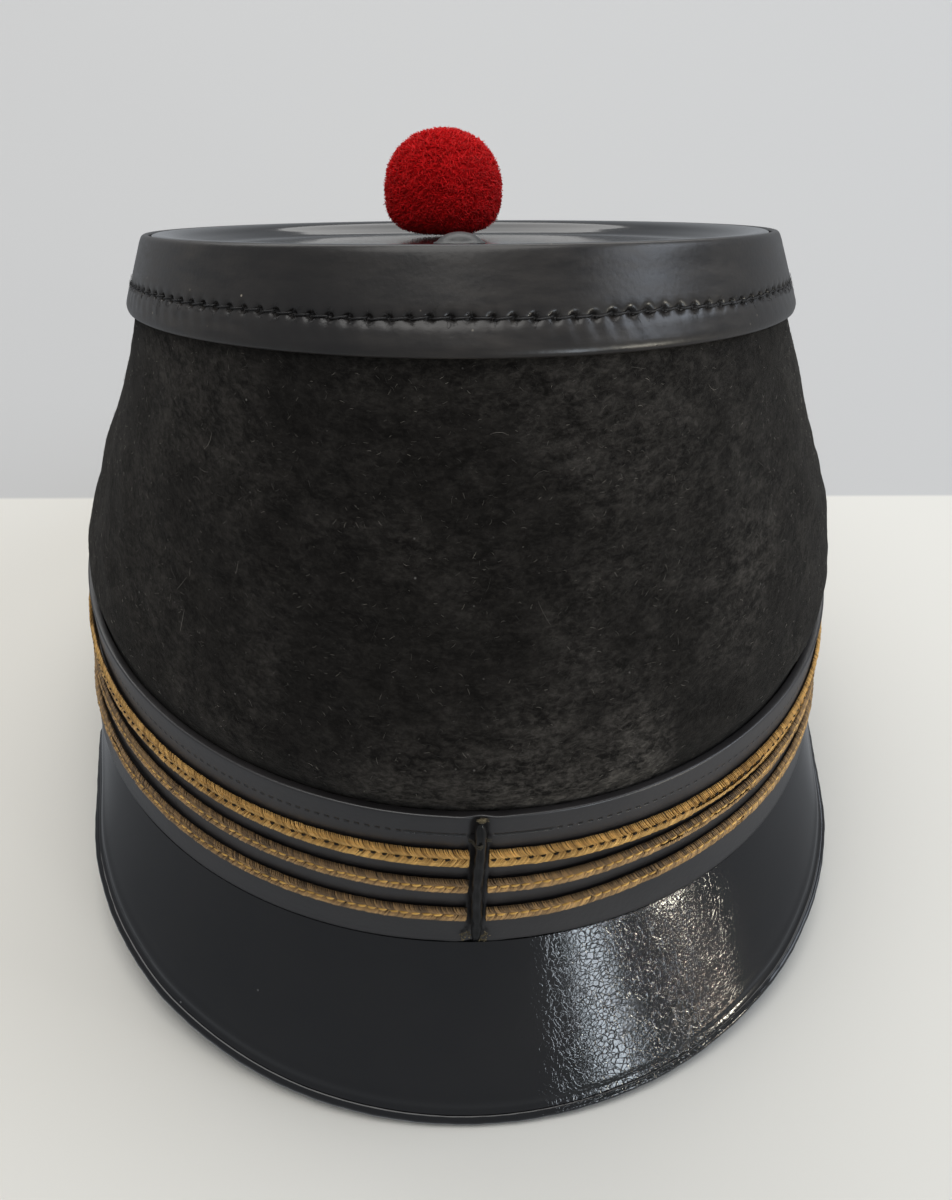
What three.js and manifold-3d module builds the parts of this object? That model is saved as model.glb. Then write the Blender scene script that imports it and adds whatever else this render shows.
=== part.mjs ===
import * as THREE from 'three';
import { mergeVertices } from 'three/addons/utils/BufferGeometryUtils.js';
import Module from 'manifold-3d';

// A felt shako with a leather crown, a leather band with three rows of gold braid,
// a deep leather peak and a wool pompom. Lengths are in millimetres and angles in degrees.
// The hat is shaped in its own frame, with its lower edge level at z = 0, the peak toward -Y
// and the pompom toward +Y. At the end it is tipped until it rests on the peak and the far edge.

const HEAD_WIDTH = 167;
const HEAD_LENGTH = 196;
const CROWN_HEIGHT = 109.4;
const CROWN_TILT = 17;
const FELT_WALL = 2.4;
const FELT_EDGE_LIFT = 0.8;
const CLEARANCE = 0.3;

const BAND_HEIGHT = 37.7;
const BAND_WALL = 1.8;
const BAND_EDGE_ROUNDING = 0.5;

const BRAID_THICKNESS = 1.1;
const UPPER_BRAID = { base: 24.1, width: 5.7, climb: 0.0 };
const MIDDLE_BRAID = { base: 16.8, width: 4.0, climb: 1.9 };
const LOWER_BRAID = { base: 7.9, width: 4.2, climb: 2.6 };

const SEAM_TURN = -1.4;
const KEEPER_WIDTH = 2.4;
const KEEPER_DEPTH = 2.2;
const KEEPER_FOOT = 2.2;
const KEEPER_HEAD = 0.4;
const KEEPER_CLEARANCE = 1.0;

const SKIRT_DEPTH = 13.1;
const SKIRT_WALL = 1.6;
const RIM_ROUNDING = 1.0;
const DISH_SLOPE_WIDTH = 8.0;
const DISH_DEPTH = 3.2;
const TOP_THICKNESS = 2.0;
const BUTTON_RADIUS = 5.4;
const BUTTON_HEIGHT = 2.4;
const BUTTON_SET = -8.5;

const PEAK_DROP = 39.5;
const PEAK_REACH = 13.1;
const PEAK_THICKNESS = 1.8;
const PEAK_BOW = 0.4;
const PEAK_SETBACK = 0.15;
const BINDING_RADIUS = 1.25;

const POMPOM_RADIUS = 14.2;
const POMPOM_SEAT = 10.7;
const POMPOM_SET = 47;
const POMPOM_SQUARENESS = 2.25;
const LOCK_COUNT = 40;
const LOCK_RADIUS = 3.3;
const LOCK_SINK = 0.8;
const LOCK_TIP_RADIUS = 1.1;

const RING_STEPS = 64;
const PEAK_STEPS = 28;
const PEAK_ROWS = 5;
const BINDING_SIDES = 8;
const RIDGE_STEPS = 4;
const BUTTON_SIDES = 20;
const LOCK_SIDES = 4;
const HEAD_DETAIL = 2;
const WELD_DISTANCE = 0.0001;
const SMALL_STEP = 0.01;

// Outer form of the felt, a row for each level. rise is a share of the crown's height and width a
// share of half the head width. near, far and middle are shares of half the head length. The last
// two say how much of the crown's tilt a level has on its near and its far half.
const FORM = [
  { rise: 0.0, width: 1.0, near: 1.0, far: 1.0, middle: 0.0, tiltNear: 0.0, tiltFar: 0.0 },
  { rise: 0.22, width: 0.974, near: 1.05, far: 1.012, middle: -0.002, tiltNear: 0.0, tiltFar: 0.0 },
  { rise: 0.35, width: 0.981, near: 1.076, far: 1.012, middle: -0.008, tiltNear: 0.0, tiltFar: 0.0 },
  { rise: 0.39, width: 0.998, near: 1.091, far: 1.02, middle: -0.01, tiltNear: 0.03, tiltFar: 0.03 },
  { rise: 0.45, width: 0.984, near: 1.076, far: 1.0, middle: -0.022, tiltNear: 0.13, tiltFar: 0.13 },
  { rise: 0.53, width: 0.957, near: 1.05, far: 0.962, middle: -0.036, tiltNear: 0.25, tiltFar: 0.28 },
  { rise: 0.63, width: 0.908, near: 1.01, far: 0.902, middle: -0.053, tiltNear: 0.42, tiltFar: 0.48 },
  { rise: 0.74, width: 0.85, near: 0.968, far: 0.828, middle: -0.073, tiltNear: 0.6, tiltFar: 0.7 },
  { rise: 0.82, width: 0.816, near: 0.935, far: 0.765, middle: -0.088, tiltNear: 0.74, tiltFar: 0.86 },
  { rise: 0.88, width: 0.79, near: 0.909, far: 0.715, middle: -0.1, tiltNear: 0.846, tiltFar: 1.0 },
  { rise: 0.924, width: 0.779, near: 0.881, far: 0.706, middle: -0.088, tiltNear: 0.846, tiltFar: 1.0 },
  { rise: 0.95, width: 0.768, near: 0.85, far: 0.696, middle: -0.075, tiltNear: 1.0, tiltFar: 1.0 },
  { rise: 1.0, width: 0.747, near: 0.811, far: 0.673, middle: -0.055, tiltNear: 1.0, tiltFar: 1.0 },
];

// How far the felt leans to the right, as a share of half the head width, up the crown.
const SIDE_LEAN = [
  { rise: 0.0, aside: 0.0 },
  { rise: 0.35, aside: 0.0 },
  { rise: 0.53, aside: 0.011 },
  { rise: 0.74, aside: 0.01 },
  { rise: 0.88, aside: 0.0 },
  { rise: 1.0, aside: 0.0 },
];

// Shallow hollows pressed into the felt. turn and reach are angles about the hat, from the near
// side; rise and spread are shares of the crown's height, and depth is a share of the felt wall.
const DENTS = [
  { turn: 24, reach: 20, rise: 0.6, spread: 0.1, depth: 0.55 },
  { turn: -38, reach: 26, rise: 0.5, spread: 0.09, depth: 0.4 },
  { turn: 96, reach: 22, rise: 0.66, spread: 0.12, depth: 0.5 },
  { turn: -104, reach: 24, rise: 0.58, spread: 0.1, depth: 0.45 },
  { turn: 166, reach: 30, rise: 0.6, spread: 0.12, depth: 0.6 },
];

// Section of the leather skirt, from its lower edge up. up is a share of the skirt's height and
// out a share of its wall.
const SKIRT_SECTION = [
  { up: 0.0, out: 0.7 },
  { up: 0.1, out: 1.25 },
  { up: 0.28, out: 1.15 },
  { up: 0.37, out: 0.85 },
  { up: 0.47, out: 1.15 },
  { up: 0.72, out: 1.05 },
];

// Dished top of the crown, from its edge inward. inward is a share of the width of the slope
// inside the rim, and down a share of the depth of the dish.
const DISH_SECTION = [
  { inward: 0.0, down: 0.08 },
  { inward: 0.12, down: 0.0 },
  { inward: 0.35, down: 0.16 },
  { inward: 0.66, down: 0.62 },
  { inward: 1.0, down: 1.0 },
];

// Section of the button from its foot to its tip, as shares of its radius and its height.
const BUTTON_SECTION = [
  { out: 1.0, up: 0.0 },
  { out: 0.97, up: 0.12 },
  { out: 0.8, up: 0.38 },
  { out: 0.56, up: 0.68 },
  { out: 0.3, up: 0.91 },
  { out: 0.0, up: 1.0 },
];

// Outline of the peak on one side, by the turn from its middle. reach and drop are shares of the
// peak's greatest reach outward and of its drop at the middle.
const PEAK_OUTLINE = [
  { turn: 0, reach: 0.89, drop: 1.0 },
  { turn: 20, reach: 0.95, drop: 0.94 },
  { turn: 40, reach: 1.0, drop: 0.755 },
  { turn: 50, reach: 0.92, drop: 0.615 },
  { turn: 60, reach: 0.7, drop: 0.45 },
  { turn: 70, reach: 0.28, drop: 0.27 },
  { turn: 78, reach: 0.04, drop: 0.15 },
];

// Section of a braid, as shares of its width and its thickness.
const BRAID_SECTION = [
  { up: 0.0, out: 0.55 },
  { up: 0.5, out: 1.0 },
  { up: 1.0, out: 0.55 },
];

// Where the braids run higher, by the turn from the near side, as a share of each braid's climb.
const BRAID_CLIMB = [
  { turn: 0, share: 0.0 },
  { turn: 8, share: 0.1 },
  { turn: 20, share: 0.75 },
  { turn: 32, share: 1.0 },
  { turn: 50, share: 0.9 },
  { turn: 90, share: 0.3 },
  { turn: 130, share: 0.0 },
  { turn: 360, share: 0.0 },
];

const radians = THREE.MathUtils.degToRad;
const CROWN_SLOPE = Math.tan(radians(CROWN_TILT));
const HALF_WIDTH = HEAD_WIDTH / 2;
const HALF_LENGTH = HEAD_LENGTH / 2;
const FELT_TOP = CROWN_HEIGHT - DISH_DEPTH - TOP_THICKNESS - CLEARANCE;
const SKIRT_EDGE_HEIGHT = CROWN_HEIGHT - SKIRT_DEPTH;
const BRAID_SEAT = BAND_WALL + 2 * CLEARANCE;
const WOOL_RADIUS = POMPOM_RADIUS - LOCK_SINK;

// A value read between the rows of a table, at some value of the column that orders them.
function readTable(rows, key, value, column) {
  let next = rows.findIndex((row) => row[key] > value);
  if (next < 0) {
    next = rows.length - 1;
  }
  next = Math.max(next, 1);
  const low = rows[next - 1];
  const high = rows[next];
  const share = (value - low[key]) / (high[key] - low[key]);
  return THREE.MathUtils.lerp(low[column], high[column], share);
}

// The same, along a smooth curve through the rows and their mirror image.
function readSmooth(rows, key, value, column) {
  const points = rows.map((row) => new THREE.Vector2(row[key], row[column]));
  const mirrored = points.slice(1).reverse().map((point) => new THREE.Vector2(-point.x, point.y));
  const curve = [...mirrored, ...points];
  const passed = curve.filter((point) => point.x <= value).length;
  const at = THREE.MathUtils.clamp(passed - 1, 0, curve.length - 2);
  const before = curve[Math.max(at - 1, 0)];
  const low = curve[at];
  const high = curve[at + 1];
  const after = curve[Math.min(at + 2, curve.length - 1)];
  const span = high.x - low.x;
  const share = (value - low.x) / span;
  const leave = ((high.y - before.y) / (high.x - before.x)) * span;
  const enter = ((after.y - low.y) / (after.x - low.x)) * span;
  const cubed = share ** 3;
  const squared = share ** 2;
  return (2 * cubed - 3 * squared + 1) * low.y + (cubed - 2 * squared + share) * leave
    + (3 * squared - 2 * cubed) * high.y + (cubed - squared) * enter;
}

// One level of the form: an oval of two half ellipses, and the slanted plane it lies in.
function levelAt(height, outward = 0) {
  const rise = height / CROWN_HEIGHT;
  const read = (column) => readTable(FORM, 'rise', rise, column);
  const middle = read('middle') * HALF_LENGTH;
  return {
    halfWidth: read('width') * HALF_WIDTH + outward,
    near: read('near') * HALF_LENGTH + middle + outward,
    far: read('far') * HALF_LENGTH - middle + outward,
    middle,
    aside: readTable(SIDE_LEAN, 'rise', rise, 'aside') * HALF_WIDTH,
    height,
    pivot: middle,
    slopeNear: read('tiltNear') * CROWN_SLOPE,
    slopeFar: read('tiltFar') * CROWN_SLOPE,
    hollow: 0,
  };
}

// The oval of one level, laid parallel to the crown's top and lowered by some depth.
function levelOnTop(height, outward, down = 0) {
  const top = levelAt(CROWN_HEIGHT);
  return {
    ...levelAt(height, outward),
    height: height - down,
    pivot: top.pivot,
    slopeNear: top.slopeNear,
    slopeFar: top.slopeFar,
  };
}

function pointOn(level, turn) {
  const length = Math.cos(turn) > 0 ? level.near : level.far;
  const x = level.aside + level.halfWidth * Math.sin(turn);
  const y = level.middle - length * Math.cos(turn);
  const slope = y < level.pivot ? level.slopeNear : level.slopeFar;
  return new THREE.Vector3(x, y, level.height - slope * (y - level.pivot));
}

// The heights of the form's rows between two heights, with those two at the ends.
function heightsBetween(from, to) {
  const rows = FORM.map((row) => row.rise * CROWN_HEIGHT);
  return [from, ...rows.filter((height) => height > from + CLEARANCE && height < to - CLEARANCE), to];
}

function geometryOf(points, faces) {
  const geometry = new THREE.BufferGeometry();
  const numbers = points.flatMap((point) => point.toArray());
  geometry.setAttribute('position', new THREE.Float32BufferAttribute(numbers, 3));
  geometry.setIndex(faces.flat());
  geometry.computeVertexNormals();
  return geometry;
}

// The faces of a closed section between its corners at one turn and at the next.
function facesBetween(here, there, corners) {
  const faces = [];
  for (let corner = 0; corner < corners; corner += 1) {
    const next = (corner + 1) % corners;
    faces.push([here + corner, there + corner, there + next]);
    faces.push([here + corner, there + next, here + next]);
  }
  return faces;
}

// A closed section swept round the hat. Each level is one corner of the section, taken in order
// so that the outside is on the left going up. toPoint finds a corner's place at a turn.
function sweepAround(levels, toPoint = pointOn) {
  const points = [];
  const faces = [];
  for (let step = 0; step < RING_STEPS; step += 1) {
    const turn = (step / RING_STEPS) * 2 * Math.PI;
    const next = (step + 1) % RING_STEPS;
    levels.forEach((level) => points.push(toPoint(level, turn)));
    faces.push(...facesBetween(step * levels.length, next * levels.length, levels.length));
  }
  return geometryOf(points, faces);
}

// A section that changes with the turn, swept from one turn to another, with both ends closed.
function sweepBetween(levelsAt, from, to) {
  const points = [];
  const faces = [];
  const corners = levelsAt(from).length;
  for (let step = 0; step <= RING_STEPS; step += 1) {
    const turn = THREE.MathUtils.lerp(from, to, step / RING_STEPS);
    levelsAt(turn).forEach((level) => points.push(pointOn(level, turn)));
  }
  for (let step = 0; step < RING_STEPS; step += 1) {
    faces.push(...facesBetween(step * corners, (step + 1) * corners, corners));
  }
  const last = RING_STEPS * corners;
  for (let corner = 1; corner < corners - 1; corner += 1) {
    faces.push([0, corner, corner + 1], [last, last + corner + 1, last + corner]);
  }
  return geometryOf(points, faces);
}

// How deep the felt is pressed in at one place.
function dentAt(height, turn) {
  return DENTS.reduce((depth, dent) => {
    const degrees = THREE.MathUtils.radToDeg(turn);
    const away = THREE.MathUtils.euclideanModulo(degrees - dent.turn + 180, 360) - 180;
    const across = away / dent.reach;
    const along = (height / CROWN_HEIGHT - dent.rise) / dent.spread;
    return depth + dent.depth * FELT_WALL * Math.exp(-(across ** 2) - along ** 2);
  }, 0);
}

// A point of the felt, pressed toward the hat's axis where a hollow lies.
function feltPoint(level, turn) {
  const point = pointOn(level, turn);
  const inward = new THREE.Vector3(-Math.sin(turn), Math.cos(turn), 0);
  return point.addScaledVector(inward, level.hollow * dentAt(level.height, turn));
}

// The felt wall. Its hollows show only between the band and the leather skirt.
function crownBody() {
  const heights = heightsBetween(FELT_EDGE_LIFT, FELT_TOP);
  const wallAt = (height, outward) => {
    const open = height > BAND_HEIGHT && height < SKIRT_EDGE_HEIGHT;
    const level = height < FELT_TOP ? levelAt(height, outward) : levelOnTop(height, outward);
    return { ...level, hollow: open ? 1 : 0 };
  };
  const outside = heights.map((height) => wallAt(height, 0));
  const coarse = heights.filter((height, row) => row % 2 === 0 || row === heights.length - 1);
  const inside = coarse.map((height) => wallAt(height, -FELT_WALL)).reverse();
  return sweepAround([...outside, ...inside], feltPoint);
}

// The leather band, with its two edges rounded.
function band() {
  const outward = CLEARANCE + BAND_WALL;
  const inner = heightsBetween(0, BAND_HEIGHT).map((height) => levelAt(height, CLEARANCE)).reverse();
  const outer = heightsBetween(BAND_EDGE_ROUNDING, BAND_HEIGHT - BAND_EDGE_ROUNDING);
  return sweepAround([
    levelAt(0, outward - BAND_EDGE_ROUNDING),
    ...outer.map((height) => levelAt(height, outward)),
    levelAt(BAND_HEIGHT, outward - BAND_EDGE_ROUNDING),
    ...inner,
  ]);
}

// A flat braid on the band, open where the keeper stands.
function braid({ base, width, climb }) {
  const levelsAt = (turn) => {
    const foot = base + climb * readTable(BRAID_CLIMB, 'turn', THREE.MathUtils.radToDeg(turn), 'share');
    const outer = BRAID_SECTION.map(({ up, out }) => (
      levelAt(foot + up * width, BRAID_SEAT + out * BRAID_THICKNESS)));
    return [...outer, levelAt(foot + width, BRAID_SEAT), levelAt(foot, BRAID_SEAT)];
  };
  const halfGap = KEEPER_WIDTH / 2 + KEEPER_CLEARANCE;
  const end = halfGap / levelAt(base, BRAID_SEAT).halfWidth;
  const seam = radians(SEAM_TURN);
  return sweepBetween(levelsAt, seam + end, seam + 2 * Math.PI - end);
}

// A rolled strip with two ridges that stands on the band over its seam.
function seamKeeper() {
  const half = KEEPER_WIDTH / 2;
  const ridge = half / 2;
  const section = new THREE.Shape();
  section.moveTo(-half, 0);
  section.lineTo(half, 0);
  section.lineTo(half, KEEPER_DEPTH - ridge);
  section.absarc(ridge, KEEPER_DEPTH - ridge, ridge, 0, Math.PI, false);
  section.absarc(-ridge, KEEPER_DEPTH - ridge, ridge, 0, Math.PI, false);
  const seam = radians(SEAM_TURN);
  const foot = pointOn(levelAt(KEEPER_FOOT, BRAID_SEAT), seam);
  const head = pointOn(levelAt(BAND_HEIGHT - KEEPER_HEAD, BRAID_SEAT), seam);
  const rise = head.clone().sub(foot);
  const geometry = new THREE.ExtrudeGeometry(section, {
    depth: rise.length(),
    bevelEnabled: false,
    steps: 1,
    curveSegments: RIDGE_STEPS,
  });
  const lean = Math.atan2(rise.y, rise.z);
  geometry.rotateZ(Math.PI);
  geometry.rotateX(-lean);
  geometry.translate(foot.x, foot.y, foot.z);
  return geometry;
}

// The leather round the top of the felt, from its stitched lip up to the fold at the rim.
function crownSkirt() {
  const outside = CLEARANCE + SKIRT_WALL;
  const corner = RIM_ROUNDING * (1 - Math.SQRT1_2);
  const outer = SKIRT_SECTION.map(({ up, out }) => (
    levelAt(SKIRT_EDGE_HEIGHT + up * SKIRT_DEPTH, CLEARANCE + out * SKIRT_WALL)));
  const inner = heightsBetween(SKIRT_EDGE_HEIGHT, FELT_TOP).slice(0, -1).reverse();
  return sweepAround([
    ...outer,
    levelOnTop(CROWN_HEIGHT, outside, RIM_ROUNDING),
    levelOnTop(CROWN_HEIGHT, outside - corner, corner),
    levelOnTop(CROWN_HEIGHT, outside - RIM_ROUNDING),
    levelOnTop(CROWN_HEIGHT, CLEARANCE),
    levelOnTop(CROWN_HEIGHT, CLEARANCE, TOP_THICKNESS + CLEARANCE),
    levelOnTop(FELT_TOP, CLEARANCE),
    ...inner.map((height) => levelAt(height, CLEARANCE)),
  ]);
}

// The dished top inside the rim: a thin plate with a fan at the middle of each face.
function crownTop() {
  const topLevel = ({ inward, down }, lowered) => (
    levelOnTop(CROWN_HEIGHT, -inward * DISH_SLOPE_WIDTH, down * DISH_DEPTH + lowered));
  const upper = DISH_SECTION.map((row) => topLevel(row, 0));
  const lower = DISH_SECTION.map((row) => topLevel(row, TOP_THICKNESS));
  const levels = [...upper.reverse(), ...lower];
  const first = levels[0];
  const last = levels[levels.length - 1];
  const points = [first, last].map((level) => new THREE.Vector3(level.aside, level.pivot, level.height));
  const faces = [];
  const corners = levels.length;
  for (let step = 0; step < RING_STEPS; step += 1) {
    const turn = (step / RING_STEPS) * 2 * Math.PI;
    levels.forEach((level) => points.push(pointOn(level, turn)));
    const here = 2 + step * corners;
    const there = 2 + ((step + 1) % RING_STEPS) * corners;
    faces.push([0, here, there], [1, there + corners - 1, here + corners - 1]);
    for (let corner = 0; corner < corners - 1; corner += 1) {
      faces.push([here + corner, here + corner + 1, there + corner + 1]);
      faces.push([here + corner, there + corner + 1, there + corner]);
    }
  }
  return geometryOf(points, faces);
}

// A low dome, standing on the top's own frame.
function ventButton() {
  const profile = BUTTON_SECTION.map(({ out, up }) => (
    new THREE.Vector2(out * BUTTON_RADIUS, up * BUTTON_HEIGHT)));
  const dome = new THREE.LatheGeometry([new THREE.Vector2(0, 0), ...profile], BUTTON_SIDES);
  dome.rotateX(Math.PI / 2);
  return dome;
}

// A point on the flat top at some distance along the hat's length.
function onTop(along) {
  const plane = levelOnTop(CROWN_HEIGHT, 0, DISH_DEPTH);
  const slope = along < plane.pivot ? plane.slopeNear : plane.slopeFar;
  return new THREE.Vector3(0, along, plane.height - slope * (along - plane.pivot));
}

const topNormal = new THREE.Vector3(0, Math.sin(radians(CROWN_TILT)), Math.cos(radians(CROWN_TILT)));

// The peak's outer surface at a turn and a share of the way across it, out to its very edge.
function peakPoint(turn, across) {
  const start = levelAt(0, CLEARANCE + BAND_WALL - PEAK_SETBACK);
  const root = pointOn(start, turn).setZ(-CLEARANCE);
  const outward = new THREE.Vector3(Math.sin(turn) * start.near, -Math.cos(turn) * start.halfWidth, 0);
  const degrees = THREE.MathUtils.radToDeg(turn);
  const reach = PEAK_SETBACK + PEAK_REACH * readSmooth(PEAK_OUTLINE, 'turn', degrees, 'reach');
  const drop = PEAK_DROP * readSmooth(PEAK_OUTLINE, 'turn', degrees, 'drop');
  const bow = (PEAK_BOW * Math.sin(Math.PI * across) * drop) / PEAK_DROP;
  root.addScaledVector(outward.normalize(), across * reach + bow);
  return root.setZ(root.z - across * drop);
}

function peakTurn(step) {
  const spread = radians(PEAK_OUTLINE[PEAK_OUTLINE.length - 1].turn);
  return THREE.MathUtils.lerp(-spread, spread, step / PEAK_STEPS);
}

function peakWidth(turn) {
  return peakPoint(turn, 0).distanceTo(peakPoint(turn, 1));
}

// The direction out of the peak's surface, from points a small step away.
function peakNormal(turn, across) {
  const around = peakPoint(turn + SMALL_STEP, across).sub(peakPoint(turn - SMALL_STEP, across));
  const down = peakPoint(turn, across + SMALL_STEP).sub(peakPoint(turn, across - SMALL_STEP));
  return down.cross(around).normalize();
}

// The peak's leather, a curved sheet that stops short of the binding.
function peak() {
  const points = [];
  const faces = [];
  for (let step = 0; step <= PEAK_STEPS; step += 1) {
    const turn = peakTurn(step);
    const leather = 1 - (2 * BINDING_RADIUS + CLEARANCE) / peakWidth(turn);
    for (let row = 0; row <= PEAK_ROWS; row += 1) {
      const across = (row / PEAK_ROWS) * leather;
      const outer = peakPoint(turn, across);
      const under = outer.clone().addScaledVector(peakNormal(turn, across), -PEAK_THICKNESS);
      points.push(outer, under.setZ(Math.min(under.z, -CLEARANCE)));
    }
  }
  const stride = 2 * (PEAK_ROWS + 1);
  const quad = (a, b, c, d) => faces.push([a, b, c], [a, c, d]);
  for (let step = 0; step < PEAK_STEPS; step += 1) {
    const here = step * stride;
    const there = here + stride;
    for (let row = 0; row < PEAK_ROWS; row += 1) {
      const low = 2 * row;
      quad(here + low, here + low + 2, there + low + 2, there + low);
      quad(here + low + 1, there + low + 1, there + low + 3, here + low + 3);
    }
    const edge = 2 * PEAK_ROWS;
    quad(here, there, there + 1, here + 1);
    quad(here + edge, here + edge + 1, there + edge + 1, there + edge);
  }
  const last = PEAK_STEPS * stride;
  for (let row = 0; row < PEAK_ROWS; row += 1) {
    const low = 2 * row;
    quad(low, low + 1, low + 3, low + 2);
    quad(last + low, last + low + 2, last + low + 3, last + low + 1);
  }
  return geometryOf(points, faces);
}

// The middle of the rolled edge, half way through the peak's leather.
function bindingCentre(turn) {
  const centre = peakPoint(turn, 1 - BINDING_RADIUS / peakWidth(turn));
  return centre.addScaledVector(peakNormal(turn, 1), -PEAK_THICKNESS / 2);
}

function peakBinding() {
  const centres = [];
  for (let step = 0; step <= PEAK_STEPS; step += 1) {
    centres.push(bindingCentre(peakTurn(step)));
  }
  const corners = [];
  for (let side = 0; side < BINDING_SIDES; side += 1) {
    const corner = new THREE.Vector2(BINDING_RADIUS, 0);
    corners.push(corner.rotateAround(new THREE.Vector2(), (side / BINDING_SIDES) * 2 * Math.PI));
  }
  return new THREE.ExtrudeGeometry(new THREE.Shape(corners), {
    extrudePath: new THREE.CatmullRomCurve3(centres),
    steps: PEAK_STEPS,
    bevelEnabled: false,
  });
}

// The wool's surface in one direction: a slightly squared ball, pressed flatter where it sits.
function woolPoint(away) {
  const breadth = Math.hypot(away.x, away.y) ** POMPOM_SQUARENESS;
  const height = Math.abs(away.z) ** POMPOM_SQUARENESS;
  const press = away.z < 0 ? (POMPOM_SEAT - LOCK_SINK) / WOOL_RADIUS : 1;
  const full = WOOL_RADIUS * (breadth + height) ** (-1 / POMPOM_SQUARENESS);
  return new THREE.Vector3(away.x, away.y, away.z * press).multiplyScalar(full);
}

// A round head of wool with short locks standing from it, fused into one body.
async function pompom() {
  const wasm = await Module();
  wasm.setup();
  const solidOf = (geometry) => {
    const bare = geometry.clone();
    bare.deleteAttribute('normal');
    bare.deleteAttribute('uv');
    const merged = mergeVertices(bare, WELD_DISTANCE);
    return new wasm.Manifold(new wasm.Mesh({
      numProp: 3,
      vertProperties: Float32Array.from(merged.attributes.position.array),
      triVerts: Uint32Array.from(merged.index.array),
    }));
  };
  const head = new THREE.IcosahedronGeometry(WOOL_RADIUS, HEAD_DETAIL);
  const corners = head.attributes.position;
  for (let corner = 0; corner < corners.count; corner += 1) {
    const away = new THREE.Vector3().fromBufferAttribute(corners, corner).normalize();
    corners.setXYZ(corner, ...woolPoint(away).toArray());
  }
  let body = solidOf(head);
  const goldenTurn = Math.PI * (3 - Math.sqrt(5));
  for (let lock = 0; lock < LOCK_COUNT; lock += 1) {
    const height = 1 - (2 * lock + 1) / LOCK_COUNT;
    const breadth = Math.sqrt(1 - height ** 2);
    const turn = lock * goldenTurn;
    const away = new THREE.Vector3(breadth * Math.cos(turn), breadth * Math.sin(turn), height);
    const tuft = new THREE.CylinderGeometry(LOCK_TIP_RADIUS, LOCK_RADIUS, 2 * LOCK_SINK, LOCK_SIDES);
    tuft.applyQuaternion(new THREE.Quaternion().setFromUnitVectors(new THREE.Vector3(0, 1, 0), away));
    tuft.translate(...woolPoint(away).toArray());
    body = body.add(solidOf(tuft));
  }
  const mesh = body.getMesh();
  const geometry = new THREE.BufferGeometry();
  geometry.setAttribute('position', new THREE.Float32BufferAttribute(mesh.vertProperties, 3));
  geometry.setIndex(Array.from(mesh.triVerts));
  geometry.computeVertexNormals();
  return geometry;
}

// How far the hat tips, so that the binding and the far edge of the band touch one flat surface.
function restTilt() {
  const far = pointOn(levelAt(0, CLEARANCE + BAND_WALL - BAND_EDGE_ROUNDING), Math.PI);
  let tilt = 0;
  for (let step = 0; step <= PEAK_STEPS; step += 1) {
    const centre = bindingCentre(peakTurn(step));
    const back = far.y - centre.y;
    const down = far.z - centre.z;
    const touching = Math.asin(BINDING_RADIUS / Math.hypot(back, down));
    tilt = Math.max(tilt, Math.atan2(down, back) + touching);
  }
  return tilt;
}

const felt = new THREE.MeshStandardMaterial({ color: 0x17161a, roughness: 0.98, metalness: 0 });
const softLeather = new THREE.MeshStandardMaterial({ color: 0x1a191d, roughness: 0.5, metalness: 0 });
const patentLeather = new THREE.MeshStandardMaterial({ color: 0x0e0f12, roughness: 0.15, metalness: 0 });
const bandLeather = new THREE.MeshStandardMaterial({ color: 0x15171c, roughness: 0.45, metalness: 0 });
const keeperLeather = new THREE.MeshStandardMaterial({ color: 0x1b1712, roughness: 0.5, metalness: 0 });
const brightGold = new THREE.MeshStandardMaterial({ color: 0xc9983a, roughness: 0.5, metalness: 0.5 });
const dullGold = new THREE.MeshStandardMaterial({ color: 0xa57d33, roughness: 0.6, metalness: 0.4 });
const wool = new THREE.MeshStandardMaterial({ color: 0xb3161c, roughness: 1, metalness: 0 });
const paintedButton = new THREE.MeshStandardMaterial({ color: 0x3a3b3f, roughness: 0.4, metalness: 0.2 });

const hat = new THREE.Group();

function addPiece(name, geometry, material) {
  const mesh = new THREE.Mesh(geometry, material);
  mesh.name = name;
  hat.add(mesh);
  return mesh;
}

addPiece('crown_body', crownBody(), felt);
addPiece('crown_skirt', crownSkirt(), softLeather);
addPiece('crown_top', crownTop(), patentLeather);
addPiece('band', band(), bandLeather);
addPiece('braid_upper', braid(UPPER_BRAID), brightGold);
addPiece('braid_middle', braid(MIDDLE_BRAID), dullGold);
addPiece('braid_lower', braid(LOWER_BRAID), dullGold);
addPiece('seam_keeper', seamKeeper(), keeperLeather);
addPiece('peak', peak(), patentLeather);
addPiece('peak_binding', peakBinding(), patentLeather);

const button = addPiece('vent_button', ventButton(), paintedButton);
button.position.copy(onTop(BUTTON_SET)).addScaledVector(topNormal, CLEARANCE);
button.rotation.x = -radians(CROWN_TILT);

const ball = addPiece('pompom', await pompom(), wool);
ball.position.copy(onTop(POMPOM_SET)).addScaledVector(topNormal, POMPOM_SEAT + CLEARANCE);
ball.rotation.x = -radians(CROWN_TILT);

hat.rotation.x = -restTilt();
hat.updateMatrixWorld(true);
const box = new THREE.Box3().setFromObject(hat, true);
hat.position.set(-(box.min.x + box.max.x) / 2, -(box.min.y + box.max.y) / 2, -box.min.z);

const shako = new THREE.Group();
shako.add(hat);

export default shako;
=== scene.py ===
import bpy
import math
import numpy as np
from mathutils import Matrix, Vector


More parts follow.
